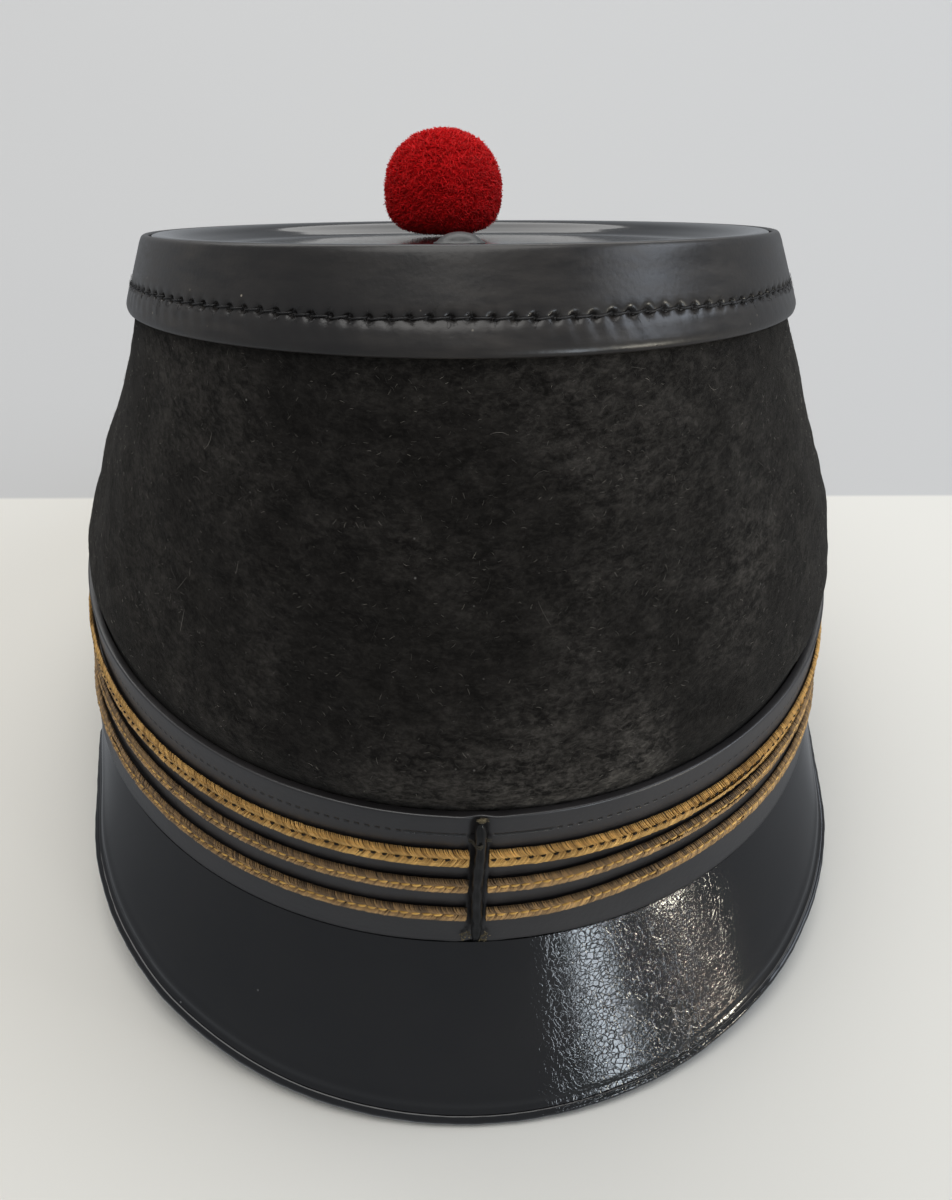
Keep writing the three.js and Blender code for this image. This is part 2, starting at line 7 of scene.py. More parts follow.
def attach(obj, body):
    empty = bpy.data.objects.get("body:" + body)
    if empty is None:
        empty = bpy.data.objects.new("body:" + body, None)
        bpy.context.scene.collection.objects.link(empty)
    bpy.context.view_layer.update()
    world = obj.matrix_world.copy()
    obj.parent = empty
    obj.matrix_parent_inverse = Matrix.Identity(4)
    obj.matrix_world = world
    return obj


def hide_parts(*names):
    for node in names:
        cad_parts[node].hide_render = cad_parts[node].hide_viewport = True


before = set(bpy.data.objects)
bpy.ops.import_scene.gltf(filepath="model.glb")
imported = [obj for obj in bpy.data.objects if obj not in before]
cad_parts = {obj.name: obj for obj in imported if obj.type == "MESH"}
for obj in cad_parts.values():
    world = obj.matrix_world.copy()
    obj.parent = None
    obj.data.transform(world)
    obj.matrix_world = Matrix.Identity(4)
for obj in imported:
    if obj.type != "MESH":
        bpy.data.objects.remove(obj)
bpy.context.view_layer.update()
print("frame loaded")

# The hat is shaped in its own frame, in millimetres, with its lower edge level at height 0,
# the peak toward -Y, and is then tipped onto the surface it rests on.
hatForm = {
    "headWidth": 167.0,
    "headLength": 196.0,
    "crownHeight": 109.4,
    "crownTilt": 17.0,
    "restTilt": 10.804,
    "restShift": (0.009, 5.333, 18.67),
    "seamTurn": -1.4,
    "rise": (0, 0.22, 0.35, 0.39, 0.45, 0.53, 0.63, 0.74, 0.82, 0.88, 0.924, 0.95, 1),
    "width": (1, 0.974, 0.981, 0.998, 0.984, 0.957, 0.908, 0.85, 0.816, 0.79, 0.779, 0.768, 0.747),
    "near": (1, 1.05, 1.076, 1.091, 1.076, 1.05, 1.01, 0.968, 0.935, 0.909, 0.881, 0.85, 0.811),
    "far": (1, 1.012, 1.012, 1.02, 1, 0.962, 0.902, 0.828, 0.765, 0.715, 0.706, 0.696, 0.673),
    "middle": (0, -0.002, -0.008, -0.01, -0.022, -0.036, -0.053, -0.073, -0.088, -0.1, -0.088, -0.075,
               -0.055),
    "aside": (0, 0, 0, 0.003, 0.007, 0.011, 0.011, 0.01, 0.005, 0, 0, 0, 0),
    "tiltNear": (0, 0, 0, 0.03, 0.13, 0.25, 0.42, 0.6, 0.74, 0.846, 0.846, 1, 1),
    "tiltFar": (0, 0, 0, 0.03, 0.13, 0.28, 0.48, 0.7, 0.86, 1, 1, 1, 1),
}


def smoothRead(places, values, at):
    # a curve through the rows of a table that never swings past them
    places, values, at = np.asarray(places, float), np.asarray(values, float), np.asarray(at, float)
    step = np.diff(places)
    rise = np.diff(values) / step
    lean = np.zeros(len(places))
    for row in range(1, len(places) - 1):
        if rise[row - 1] * rise[row] > 0:
            a = 2 * step[row] + step[row - 1]
            b = step[row] + 2 * step[row - 1]
            lean[row] = (a + b) / (a / rise[row - 1] + b / rise[row])
    lean[0], lean[-1] = rise[0], rise[-1]
    row = np.clip(np.searchsorted(places, at, side="right") - 1, 0, len(places) - 2)
    share = (at - places[row]) / step[row]
    outside = (share < 0) | (share > 1)
    square, cube = share ** 2, share ** 3
    curve = (
        (2 * cube - 3 * square + 1) * values[row] + (cube - 2 * square + share) * step[row] * lean[row]
        + (3 * square - 2 * cube) * values[row + 1] + (cube - square) * step[row] * lean[row + 1]
    )
    straight = values[row] + share * (values[row + 1] - values[row])
    return np.where(outside, straight, curve)


def formRow(column, height):
    return smoothRead(hatForm["rise"], hatForm[column], np.asarray(height) / hatForm["crownHeight"])


def hatPoint(turn, height, outward=0.0, onTop=False, down=0.0):
    # a point on the hat at a turn from its near side, a height and a distance out of the felt
    turn, height = np.broadcast_arrays(np.asarray(turn, float), np.asarray(height, float))
    halfWidth, halfLength = hatForm["headWidth"] / 2, hatForm["headLength"] / 2
    middle = formRow("middle", height) * halfLength
    near = formRow("near", height) * halfLength + middle + outward
    far = formRow("far", height) * halfLength - middle + outward
    side = 0.5 + 0.5 * np.tanh(np.cos(turn) * 6)
    length = np.where(np.cos(turn) > 0, near, far)
    x = formRow("aside", height) * halfWidth + (formRow("width", height) * halfWidth + outward) * np.sin(turn)
    y = middle - length * np.cos(turn)
    slope = math.tan(math.radians(hatForm["crownTilt"]))
    if onTop:
        pivot = hatForm["middle"][-1] * halfLength
        return np.stack([x, y, height - down - slope * (y - pivot)], axis=-1)
    share = side * formRow("tiltNear", height) + (1 - side) * formRow("tiltFar", height)
    return np.stack([x, y, height - slope * share * (y - middle)], axis=-1)


def standing(points):
    # hat's own millimetres to metres in the frame
    tilt = math.radians(hatForm["restTilt"])
    x, y, z = np.moveaxis(np.asarray(points, float), -1, 0)
    shift = hatForm["restShift"]
    tipped = [
        x + shift[0],
        y * math.cos(tilt) + z * math.sin(tilt) + shift[1],
        -y * math.sin(tilt) + z * math.cos(tilt) + shift[2],
    ]
    return np.stack(tipped, axis=-1) / 1000


def wander(a, b, seed, waves=9, finest=1.0):
    # a smooth random height over two directions, about -1 to 1
    chance = np.random.default_rng(seed)
    total = np.zeros(np.broadcast(a, b).shape)
    for _ in range(waves):
        along, across = chance.integers(-4, 5), chance.uniform(-1, 1) * 0.09 * finest
        total = total + np.sin(along * a * finest + across * b + chance.uniform(0, 6.28))
    return total / math.sqrt(waves)


def deselectAll():
    if bpy.context.mode != "OBJECT":
        bpy.ops.object.mode_set(mode="OBJECT")
    bpy.ops.object.select_all(action="DESELECT")


def onlySelect(piece):
    deselectAll()
    piece.select_set(True)
    bpy.context.view_layer.objects.active = piece


def softSection(corners, spacing, arcSteps):
    # a closed outline of (out, up, rounding) corners, as points in order round it
    places = [np.array(corner[:2], float) for corner in corners]
    outline = []
    for index, corner in enumerate(corners):
        here = places[index]
        back, on = places[index - 1] - here, places[(index + 1) % len(places)] - here
        if corner[2] > 0:
            start = here + back / np.linalg.norm(back) * corner[2]
            end = here + on / np.linalg.norm(on) * corner[2]
            for t in np.linspace(0, 1, arcSteps + 1):
                outline.append((1 - t) ** 2 * start + 2 * t * (1 - t) * here + t ** 2 * end)
        else:
            outline.append(here)
    filled = []
    for index, point in enumerate(outline):
        nextPoint = outline[(index + 1) % len(outline)]
        gap = np.linalg.norm(nextPoint - point)
        if gap < 1e-6:
            continue
        pieces = max(1, int(math.ceil(gap / spacing)))
        for part in range(pieces):
            filled.append(point + (nextPoint - point) * part / pieces)
    return np.array(filled)


def setPoints(mesh, points):
    mesh.vertices.foreach_set("co", points.astype(np.float32).ravel())
    mesh.update()


def readPoints(mesh):
    flat = np.empty(len(mesh.vertices) * 3)
    mesh.vertices.foreach_get("co", flat)
    return flat.reshape(-1, 3)


def rolledSheet(name, columns, rows, place):
    # a grid is laid out flat, then rolled to its place; its UV map is in tenths of a metre
    deselectAll()
    bpy.ops.mesh.primitive_grid_add(x_subdivisions=columns, y_subdivisions=rows, size=1)
    piece = bpy.context.active_object
    piece.name = name
    piece.data.name = name
    mesh = piece.data
    flat = readPoints(mesh) + 0.5
    column = np.rint(flat[:, 0] * columns).astype(int)
    row = np.rint(flat[:, 1] * rows).astype(int)
    points, uvMm = place(column, row)
    setPoints(mesh, standing(points))
    corner = np.empty(len(mesh.loops), int)
    mesh.loops.foreach_get("vertex_index", corner)
    mesh.uv_layers[0].data.foreach_set("uv", (uvMm[corner] / 100).astype(np.float32).ravel())
    bpy.ops.object.mode_set(mode="EDIT")
    bpy.ops.mesh.select_all(action="SELECT")
    bpy.ops.mesh.remove_doubles(threshold=0.000004)
    bpy.ops.mesh.normals_make_consistent(inside=False)
    bpy.ops.object.mode_set(mode="OBJECT")
    bpy.ops.object.shade_smooth()
    return piece


def hump(value, middle, reach):
    # 1 at the middle, falling softly to 0 on both sides
    return np.exp(-((value - middle) / reach) ** 2)


def closeEnds(fillOpening):
    # fills the open ends of the active piece with a mesh operator
    bpy.ops.object.mode_set(mode="EDIT")
    bpy.ops.mesh.select_all(action="DESELECT")
    bpy.ops.mesh.select_non_manifold(extend=False)
    fillOpening()
    bpy.ops.object.mode_set(mode="OBJECT")


def arcLength(turn):
    # millimetres round the hat to a turn, for patterns that follow its surface
    fine = np.linspace(-math.pi, math.pi * 3, 2001)
    line = hatPoint(fine, 20.0)
    along = np.concatenate([[0], np.cumsum(np.linalg.norm(np.diff(line, axis=0), axis=1))])
    return np.interp(turn, fine, along - np.interp(0, fine, along))


def ringPiece(name, section, columns, relief=None, surface=hatPoint):
    # a closed section (out, up) swept round the hat; relief pushes its points outward
    closed = np.vstack([section, section[:1]])
    across = np.concatenate([[0], np.cumsum(np.linalg.norm(np.diff(closed, axis=0), axis=1))])
    roundLength = float(arcLength(2 * math.pi))

    def place(column, row):
        turn = math.pi + column / columns * 2 * math.pi
        out, up = closed[row, 0], closed[row, 1]
        push = relief(turn, out, up) if relief else 0
        points = surface(turn, up, out + push)
        return points, np.stack([arcLength(turn) - roundLength, across[row]], axis=-1)

    return rolledSheet(name, columns, len(section), place)


def threadPiece(name, paths, radii, sides=3, tone=None):
    # many short threads as one mesh: paths are (threads, points, 3) in metres, radii (threads, points)
    paths, radii = np.asarray(paths, float), np.asarray(radii, float)
    count, steps = paths.shape[:2]
    tangent = np.gradient(paths, axis=1)
    tangent /= np.linalg.norm(tangent, axis=-1, keepdims=True) + 1e-12
    helper = np.array([0.31, 0.52, 0.79])
    across = np.cross(tangent, helper)
    across /= np.linalg.norm(across, axis=-1, keepdims=True) + 1e-12
    upward = np.cross(across, tangent)
    corners = []
    for side in range(sides):
        turn = side / sides * 2 * math.pi
        offset = across * math.cos(turn) + upward * math.sin(turn)
        corners.append(paths + offset * radii[..., None])
    points = np.stack(corners, axis=2).reshape(-1, 3)
    base = np.arange(count)[:, None, None] * steps * sides
    step = np.arange(steps - 1)[None, :, None] * sides
    side = np.arange(sides)[None, None, :]
    nextSide = (side + 1) % sides
    here = base + step
    quads = np.stack([here + side, here + nextSide, here + sides + nextSide, here + sides + side], axis=-1)
    faces = quads.reshape(-1, 4)
    caps = np.arange(sides)
    start = np.arange(count)[:, None] * steps * sides + caps[::-1]
    end = np.arange(count)[:, None] * steps * sides + (steps - 1) * sides + caps
    mesh = bpy.data.meshes.new(name)
    loops = np.concatenate([faces.ravel(), start.ravel(), end.ravel()])
    sizes = np.concatenate([np.full(len(faces), 4), np.full(2 * count, sides)])
    mesh.vertices.add(len(points))
    mesh.vertices.foreach_set("co", points.astype(np.float32).ravel())
    mesh.loops.add(len(loops))
    mesh.loops.foreach_set("vertex_index", loops.astype(np.int32))
    mesh.polygons.add(len(sizes))
    mesh.polygons.foreach_set("loop_start", np.concatenate([[0], np.cumsum(sizes)[:-1]]).astype(np.int32))
    mesh.polygons.foreach_set("loop_total", sizes.astype(np.int32))
    mesh.update(calc_edges=True)
    mesh.validate()
    tones = np.random.default_rng(5).uniform(0, 1, count) if tone is None else tone
    layer = mesh.attributes.new("tone", "FLOAT", "POINT")
    layer.data.foreach_set("value", np.repeat(tones, steps * sides).astype(np.float32))
    piece = bpy.data.objects.new(name, mesh)
    bpy.context.collection.objects.link(piece)
    onlySelect(piece)
    bpy.ops.object.shade_smooth()
    return piece


# materials: small helpers and the effects that several finishes share
def node(tree, kind, **settings):
    made = tree.nodes.new(kind)
    for key, value in settings.items():
        if key in made.inputs.keys():
            made.inputs[key].default_value = value
        else:
            setattr(made, key, value)
    return made


def join(tree, source, target):
    tree.links.new(source, target)


def maths(tree, operation, first, second=None, clamp=False):
    made = tree.nodes.new("ShaderNodeMath")
    made.operation = operation
    made.use_clamp = clamp
    for socket, value in zip(made.inputs, (first, second)):
        if value is None:
            continue
        if isinstance(value, (int, float)):
            socket.default_value = value
        else:
            join(tree, value, socket)
    return made.outputs[0]


def times(tree, first, second):
    return maths(tree, "MULTIPLY", first, second)


def plus(tree, first, second):
    return maths(tree, "ADD", first, second)


def spread(tree, value, fromLow, fromHigh, toLow=0.0, toHigh=1.0):
    made = tree.nodes.new("ShaderNodeMapRange")
    made.clamp = True
    join(tree, value, made.inputs["Value"])
    for key, number in zip(("From Min", "From Max", "To Min", "To Max"), (fromLow, fromHigh, toLow, toHigh)):
        made.inputs[key].default_value = number
    return made.outputs["Result"]


def blend(tree, share, first, second):
    made = tree.nodes.new("ShaderNodeMix")
    made.data_type = "RGBA"
    if isinstance(share, (int, float)):
        made.inputs["Factor"].default_value = share
    else:
        join(tree, share, made.inputs["Factor"])
    for socket, value in ((made.inputs[6], first), (made.inputs[7], second)):
        if isinstance(value, tuple):
            socket.default_value = (*value, 1) if len(value) == 3 else value
        else:
            join(tree, value, socket)
    return made.outputs[2]


def noise(tree, vector, scale, detail, **settings):
    made = node(tree, "ShaderNodeTexNoise", Scale=scale, Detail=detail, **settings)
    join(tree, vector, made.inputs["Vector"])
    return made.outputs["Fac"]


def paint(tree, shader, share, first, second):
    join(tree, blend(tree, share, first, second), shader.inputs["Base Color"])


def roughen(tree, shader, share, low, high):
    join(tree, spread(tree, share, 0, 1, low, high), shader.inputs["Roughness"])


def objectPlace(tree):
    return tree.nodes.new("ShaderNodeTexCoord").outputs["Object"]


def pieceTone(tree):
    return node(tree, "ShaderNodeAttribute", attribute_name="tone").outputs["Fac"]


def effectGroup(name, inputs, outputs):
    group = bpy.data.node_groups.new(name, "ShaderNodeTree")
    for socketName, kind, value in inputs:
        socket = group.interface.new_socket(socketName, in_out="INPUT", socket_type=kind)
        if value is not None:
            socket.default_value = value
    for socketName, kind in outputs:
        group.interface.new_socket(socketName, in_out="OUTPUT", socket_type=kind)
    return group, group.nodes.new("NodeGroupInput"), group.nodes.new("NodeGroupOutput")


def place(tree, group, vector=None, **values):
    made = tree.nodes.new("ShaderNodeGroup")
    made.node_tree = group
    if vector is not None:
        join(tree, vector, made.inputs["Vector"])
    for key, value in values.items():
        made.inputs[key].default_value = value
    return made


def finish(name, colour, roughness, settings):
    material = bpy.data.materials.new(name)
    material.use_nodes = True
    material.diffuse_color = (*colour, 1)
    tree = material.node_tree
    shader = tree.nodes["Principled BSDF"]
    shader.inputs["Base Color"].default_value = (*colour, 1)
    shader.inputs["Roughness"].default_value = roughness
    for key, value in settings.items():
        shader.inputs[key].default_value = value
    return material, tree, shader


def bump(tree, shader, height, distance, strength=1.0, socket="Normal"):
    made = tree.nodes.new("ShaderNodeBump")
    made.inputs["Distance"].default_value = distance
    made.inputs["Strength"].default_value = strength
    join(tree, height, made.inputs["Height"])
    join(tree, made.outputs["Normal"], shader.inputs[socket])
    return made


vectorIn, floatIn = "NodeSocketVector", "NodeSocketFloat"

# leather grain: small pebbles and pores, and broad unevenness
leatherGrain, gIn, gOut = effectGroup(
    "leatherGrain", [("Vector", vectorIn, None), ("Scale", floatIn, 900.0)],
    [("Height", floatIn), ("Broad", floatIn), ("Pores", floatIn)])
pebbles = node(leatherGrain, "ShaderNodeTexVoronoi", feature="SMOOTH_F1")
pores = node(leatherGrain, "ShaderNodeTexNoise", Detail=4.0, Roughness=0.6)
broad = noise(leatherGrain, gIn.outputs["Vector"], 28.0, 3.0, Roughness=0.55)
for texture in (pebbles, pores):
    join(leatherGrain, gIn.outputs["Vector"], texture.inputs["Vector"])
join(leatherGrain, gIn.outputs["Scale"], pebbles.inputs["Scale"])
join(leatherGrain, times(leatherGrain, gIn.outputs["Scale"], 2.3), pores.inputs["Scale"])
pebbled = plus(leatherGrain, pebbles.outputs["Distance"], times(leatherGrain, pores.outputs["Fac"], 0.7))
join(leatherGrain, pebbled, gOut.inputs["Height"])
join(leatherGrain, spread(leatherGrain, broad, 0.3, 0.7), gOut.inputs["Broad"])
join(leatherGrain, spread(leatherGrain, pores.outputs["Fac"], 0.28, 0.4, 1, 0), gOut.inputs["Pores"])

# dust: pale flecks and short hairs, more of them where a soft cloud is dense
dustFlecks, dIn, dOut = effectGroup(
    "dustFlecks", [("Vector", vectorIn, None), ("Scale", floatIn, 500.0), ("Amount", floatIn, 0.5)],
    [("Mask", floatIn)])
flecks = node(dustFlecks, "ShaderNodeTexVoronoi", feature="F1", Randomness=1.0)
cloud = noise(dustFlecks, dIn.outputs["Vector"], 40.0, 2.0)
join(dustFlecks, dIn.outputs["Vector"], flecks.inputs["Vector"])
join(dustFlecks, dIn.outputs["Scale"], flecks.inputs["Scale"])
chosen = node(dustFlecks, "ShaderNodeSeparateColor")
join(dustFlecks, flecks.outputs["Color"], chosen.inputs["Color"])
rare = maths(dustFlecks, "GREATER_THAN", chosen.outputs["Red"],
             maths(dustFlecks, "SUBTRACT", 1.0, times(dustFlecks, dIn.outputs["Amount"], 0.2)))
near = spread(dustFlecks, flecks.outputs["Distance"], 0.08, 0.16, 1, 0)
dense = spread(dustFlecks, cloud, 0.42, 0.62)
join(dustFlecks, times(dustFlecks, times(dustFlecks, rare, near), dense), dOut.inputs["Mask"])

# crackle: fine broken lines in a varnish, the edges of irregular cells bent a little by noise, with plates
# between them
crackle, cIn, cOut = effectGroup(
    "crackle", [("Vector", vectorIn, None), ("Scale", floatIn, 300.0), ("Width", floatIn, 0.06)],
    [("Lines", floatIn), ("Plates", floatIn)])
bend = node(crackle, "ShaderNodeTexNoise", Scale=160.0, Detail=3.0)
join(crackle, cIn.outputs["Vector"], bend.inputs["Vector"])
pushed = node(crackle, "ShaderNodeVectorMath", operation="MULTIPLY_ADD")
join(crackle, bend.outputs["Color"], pushed.inputs[0])
pushed.inputs[1].default_value = (0.004, 0.004, 0.004)
join(crackle, cIn.outputs["Vector"], pushed.inputs[2])
cells = node(crackle, "ShaderNodeTexVoronoi", feature="DISTANCE_TO_EDGE", Randomness=0.95)
plates = node(crackle, "ShaderNodeTexVoronoi", feature="F1", Randomness=0.95)
for texture in (cells, plates):
    join(crackle, pushed.outputs[0], texture.inputs["Vector"])
    join(crackle, cIn.outputs["Scale"], texture.inputs["Scale"])
line = maths(crackle, "DIVIDE", cells.outputs["Distance"], cIn.outputs["Width"], clamp=True)
join(crackle, maths(crackle, "SUBTRACT", 1.0, line), cOut.inputs["Lines"])
plate = node(crackle, "ShaderNodeSeparateColor")
join(crackle, plates.outputs["Color"], plate.inputs["Color"])
join(crackle, plate.outputs["Red"], cOut.inputs["Plates"])


def ownMap(tree):
    # millimetres along the piece's own map
    where = tree.nodes.new("ShaderNodeTexCoord")
    own = tree.nodes.new("ShaderNodeMapping")
    own.inputs["Scale"].default_value = (100, 100, 100)
    join(tree, where.outputs["UV"], own.inputs["Vector"])
    axes = tree.nodes.new("ShaderNodeSeparateXYZ")
    join(tree, own.outputs["Vector"], axes.inputs["Vector"])
    return own.outputs["Vector"], axes.outputs["X"], axes.outputs["Y"]


def objectAxes(tree, vector):
    axes = tree.nodes.new("ShaderNodeSeparateXYZ")
    join(tree, vector, axes.inputs["Vector"])
    return axes.outputs["X"], axes.outputs["Y"], axes.outputs["Z"]


def window(tree, value, low, high, soft):
    # 1 between two values, fading to 0 outside them
    up = spread(tree, value, low - soft, low + soft)
    down = spread(tree, value, high - soft, high + soft, 1, 0)
    return times(tree, up, down)


# felt crown
felt = {
    "wall": 2.4,
    "edgeLift": 0.8,
    "top": 103.9,
    "columns": 420,
    "dents": ((24, 20, 0.6, 0.1, 1.3), (-38, 26, 0.5, 0.09, 1.0), (96, 22, 0.66, 0.12, 1.2),
              (-104, 24, 0.58, 0.1, 1.1), (166, 30, 0.6, 0.12, 1.4)),
    "lumps": 0.22,
    "shownFrom": 39,
    "shownTo": 95,
    "shownFade": 5,
    "levelFrom": 103.0,
    "levelOver": 0.9,
    "fibres": 7300,
    "fibresFrom": 39.5,
    "fibresOver": 56,
    "fibreLimits": (38.5, 96),
    "nearRadius": 85,
}


def feltRelief(turn, out, up):
    above = np.clip((up - felt["shownFrom"]) / felt["shownFade"], 0, 1)
    shown = above * np.clip((felt["shownTo"] - up) / felt["shownFade"], 0, 1)
    pressed = np.zeros_like(up, float)
    for dentTurn, reach, rise, spreadShare, depth in felt["dents"]:
        away = (np.degrees(turn) - dentTurn + 180) % 360 - 180
        beside = (up / hatForm["crownHeight"] - rise) / spreadShare
        pressed += depth * np.exp(-(away / reach) ** 2 - beside ** 2)
    fine = wander(turn, up, 11, 24, 5.0) + 0.6 * wander(turn, up, 12, 24, 11.0)
    return shown * (felt["lumps"] * fine - pressed)


outerHeights = np.arange(felt["edgeLift"] + 0.6, felt["top"] - 0.6, 1.05)
innerHeights = np.arange(felt["top"] - 1.0, felt["edgeLift"] + 1.0, -4.5)
feltOutside = [(0, height) for height in outerHeights]
feltInside = [(-felt["wall"], height) for height in innerHeights]
feltSection = np.array(
    [(-felt["wall"] + 0.5, felt["edgeLift"]), (-0.5, felt["edgeLift"]), (-0.1, felt["edgeLift"] + 0.15)]
    + feltOutside
    + [(-0.1, felt["top"] - 0.15), (-0.5, felt["top"]), (-felt["wall"] + 0.5, felt["top"])]
    + feltInside)


def feltPoint(turn, up, out):
    # the felt's highest rows turn parallel to the crown's top
    crown = hatForm["crownHeight"]
    flat = hatPoint(turn, np.full_like(up, crown), out, True, crown - up)
    mix = np.clip((up - felt["levelFrom"]) / felt["levelOver"], 0, 1)[:, None]
    return hatPoint(turn, up, out) * (1 - mix) + flat * mix


feltCrown = ringPiece("feltCrown", feltSection, felt["columns"], feltRelief, feltPoint)
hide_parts("crown_body")
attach(feltCrown, "root")
print("felt crown made")


def feltSurface(turn, up, out=0.0):
    push = feltRelief(turn, 0, up)
    return standing(hatPoint(turn, up, push + out))


def looseFibres():
    chance = np.random.default_rng(21)
    count = felt["fibres"]
    turn = chance.uniform(-math.pi, math.pi, count)
    up = felt["fibresFrom"] + felt["fibresOver"] * chance.uniform(0, 1, count)
    length = chance.uniform(0.4, 1.5, count) * (1 + (chance.uniform(0, 1, count) > 0.975) * 2.4)
    heading = chance.normal(0.0, 0.55, count)
    curl = chance.normal(0, 0.7, count)
    lift = chance.uniform(0.0, 0.35, count) ** 1.5
    steps = np.linspace(-0.5, 0.5, 4)
    direction = heading[:, None] + curl[:, None] * steps
    along = np.cumsum(np.cos(direction), axis=1) * length[:, None] / 4
    rise = np.cumsum(np.sin(direction), axis=1) * length[:, None] / 4
    where = turn[:, None] + along / felt["nearRadius"]
    height = np.clip(up[:, None] + rise, *felt["fibreLimits"])
    out = 0.03 + lift[:, None] * (0.2 + steps + 0.5) * length[:, None] * 0.4
    paths = feltSurface(where, height, out)
    thick = chance.uniform(0.012, 0.028, count)[:, None] * np.array([0.7, 1, 0.9, 0.4]) / 1000
    return threadPiece("feltFibres", paths, thick, tone=chance.uniform(0, 1, count) ** 3)


feltFibres = looseFibres()
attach(feltFibres, "root")
print("loose fibres laid")

# leather skirt round the top of the crown
skirt = {
    "edge": 96.3,
    "wall": 1.6,
    "clear": 0.3,
    "columns": 1008,
    "stitchCount": 126,
    "stitchUp": 101.0,
    "pitchMm": 3.1,
    "pitDepth": 1.0,
    "pucker": 0.05,
    "threadRadius": 0.17,
    "hairs": 9,
    "nearRadius": 70,
}
skirtProfile = {
    "up": (skirt["edge"], 96.9, 97.7, 99.6, 100.6, 101.0, 101.4, 102.4, 104.0, 106.5),
    "out": (0.75, 1.05, 1.22, 1.2, 1.02, 0.92, 1.02, 1.12, 1.1, 1.05),
}
rimFold = ((1.88, 108.5), (1.82, 108.85), (1.68, 109.15), (1.45, 109.33), (1.15, 109.4), (0.8, 109.38),
           (0.48, 109.25), (0.32, 109.0))
innerUps = (108.3, 107.2, 106.0, 104.6, 103.2, 101.5, 99.8, 98.2, 96.9, 96.5)
# rows lie closer together at the stitches
outerUps = np.concatenate([np.linspace(96.55, 100.0, 9), np.linspace(100.2, 101.9, 9),
                           np.linspace(102.3, 107.9, 10)])
outerOuts = skirt["clear"] + skirt["wall"] * smoothRead(skirtProfile["up"], skirtProfile["out"], outerUps)
skirtSection = np.array(
    [(0.9, skirt["edge"]), (1.2, skirt["edge"] + 0.05)]
    + list(zip(outerOuts, outerUps))
    + list(rimFold)
    + [(skirt["clear"], up) for up in innerUps]
    + [(0.5, skirt["edge"] + 0.02)])
skirtPitch = 2 * math.pi / skirt["stitchCount"]


def seamWander(turn):
    # how far the row of stitches strays up or down at a turn
    return 0.16 * wander(turn, 0, 32, 8, 3.0)


def skirtRelief(turn, out, up):
    # a pit at each stitch hole, with the leather drawn up between the holes in slanting puckers
    outside = (out > 0.9) * 1.0
    phase = turn / skirtPitch
    aside = (phase + 0.5) % 1 - 0.5
    shifted = skirt["stitchUp"] + seamWander(turn)
    pitDistance = np.hypot(aside * skirt["pitchMm"] / 0.56, (up - shifted) / 0.52)
    pits = -skirt["pitDepth"] * np.exp(-pitDistance ** 2)
    beside = hump(up, shifted, 0.8) * (0.5 + 0.5 * np.cos(2 * math.pi * (aside + 0.5)))
    uneven = 0.6 + 0.4 * np.sin(5 * turn + 1.2 * np.sin(3 * turn))
    below = np.clip((shifted - up) / 1.2, 0, 1) * np.clip((up - 97.4) / 1.5, 0, 1)
    creases = skirt["pucker"] * below * np.sin(2 * math.pi * aside + 1.1 * (up - shifted)) * uneven
    broad = 0.06 * wander(turn, up, 31, 8, 1.6)
    keep = np.clip((108.2 - up) / 2, 0, 1)
    return outside * (pits + 0.1 * beside * uneven + creases + broad * keep)


def skirtPoint(turn, up, out):
    # the skirt's wall is straight from its lower edge up to the rim
    crown = hatForm["crownHeight"]
    share = ((up - skirt["edge"]) / (crown - skirt["edge"]))[..., None]
    low = hatPoint(turn, np.full_like(up, skirt["edge"]), out)
    high = hatPoint(turn, np.full_like(up, crown), out, True)
    return low * (1 - share) + high * share


leatherSkirt = ringPiece("leatherSkirt", skirtSection, skirt["columns"], skirtRelief, skirtPoint)
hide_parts("crown_skirt")
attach(leatherSkirt, "root")


def skirtStitchThreads():
    chance = np.random.default_rng(33)
    count = skirt["stitchCount"]
    turns = (np.arange(count) + 0.5) * skirtPitch
    shares = np.linspace(-0.47, 0.47, 9)
    where = turns[:, None] + shares * skirtPitch
    slant = chance.normal(0.16, 0.06, count)[:, None]
    up = skirt["stitchUp"] + seamWander(where) + slant * shares * 2
    out = skirt["clear"] + 0.94 * skirt["wall"] + 0.18 - 0.75 * (2 * np.abs(shares)) ** 4
    paths = standing(skirtPoint(where, up, out))
    twist = 1 + 0.12 * np.cos(shares * 40)
    radius = skirt["threadRadius"] * twist * (1 - 0.3 * (2 * np.abs(shares)) ** 4) / 1000
    return threadPiece("skirtStitches", paths, np.broadcast_to(radius, paths.shape[:2]), sides=7,
                       tone=chance.uniform(0, 1, count))


def skirtFrayedHairs():
    # short dark hairs standing round each stitch hole
    chance = np.random.default_rng(35)
    hole = np.repeat(np.arange(skirt["stitchCount"]), skirt["hairs"])
    count = len(hole)
    angle = chance.uniform(0, 2 * math.pi, count)
    start = chance.uniform(0.2, 0.5, count)
    length = chance.uniform(0.35, 1.3, count) * (1 + (chance.uniform(0, 1, count) > 0.93))
    steps = np.linspace(0, 1, 4)
    bend = chance.normal(0, 0.7, count)[:, None] * steps
    away = start[:, None] + length[:, None] * steps
    turns = hole[:, None] * skirtPitch + away * np.cos(angle[:, None] + bend) / skirt["nearRadius"]
    up = skirt["stitchUp"] + away * np.sin(angle[:, None] + bend) * 0.8
    arch = 0.3 * np.sin(steps * 2.4) * chance.uniform(0.1, 1, count)[:, None]
    out = skirt["clear"] + 1.13 * skirt["wall"] + arch
    thick = chance.uniform(0.02, 0.045, count)[:, None] * np.array([1, 1, 0.8, 0.4]) / 1000
    return threadPiece("skirtFrayedHairs", standing(skirtPoint(turns, up, out)), thick)


skirtStitches = skirtStitchThreads()
skirtHairs = skirtFrayedHairs()
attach(skirtHairs, "root")
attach(skirtStitches, "root")
print("leather skirt made")

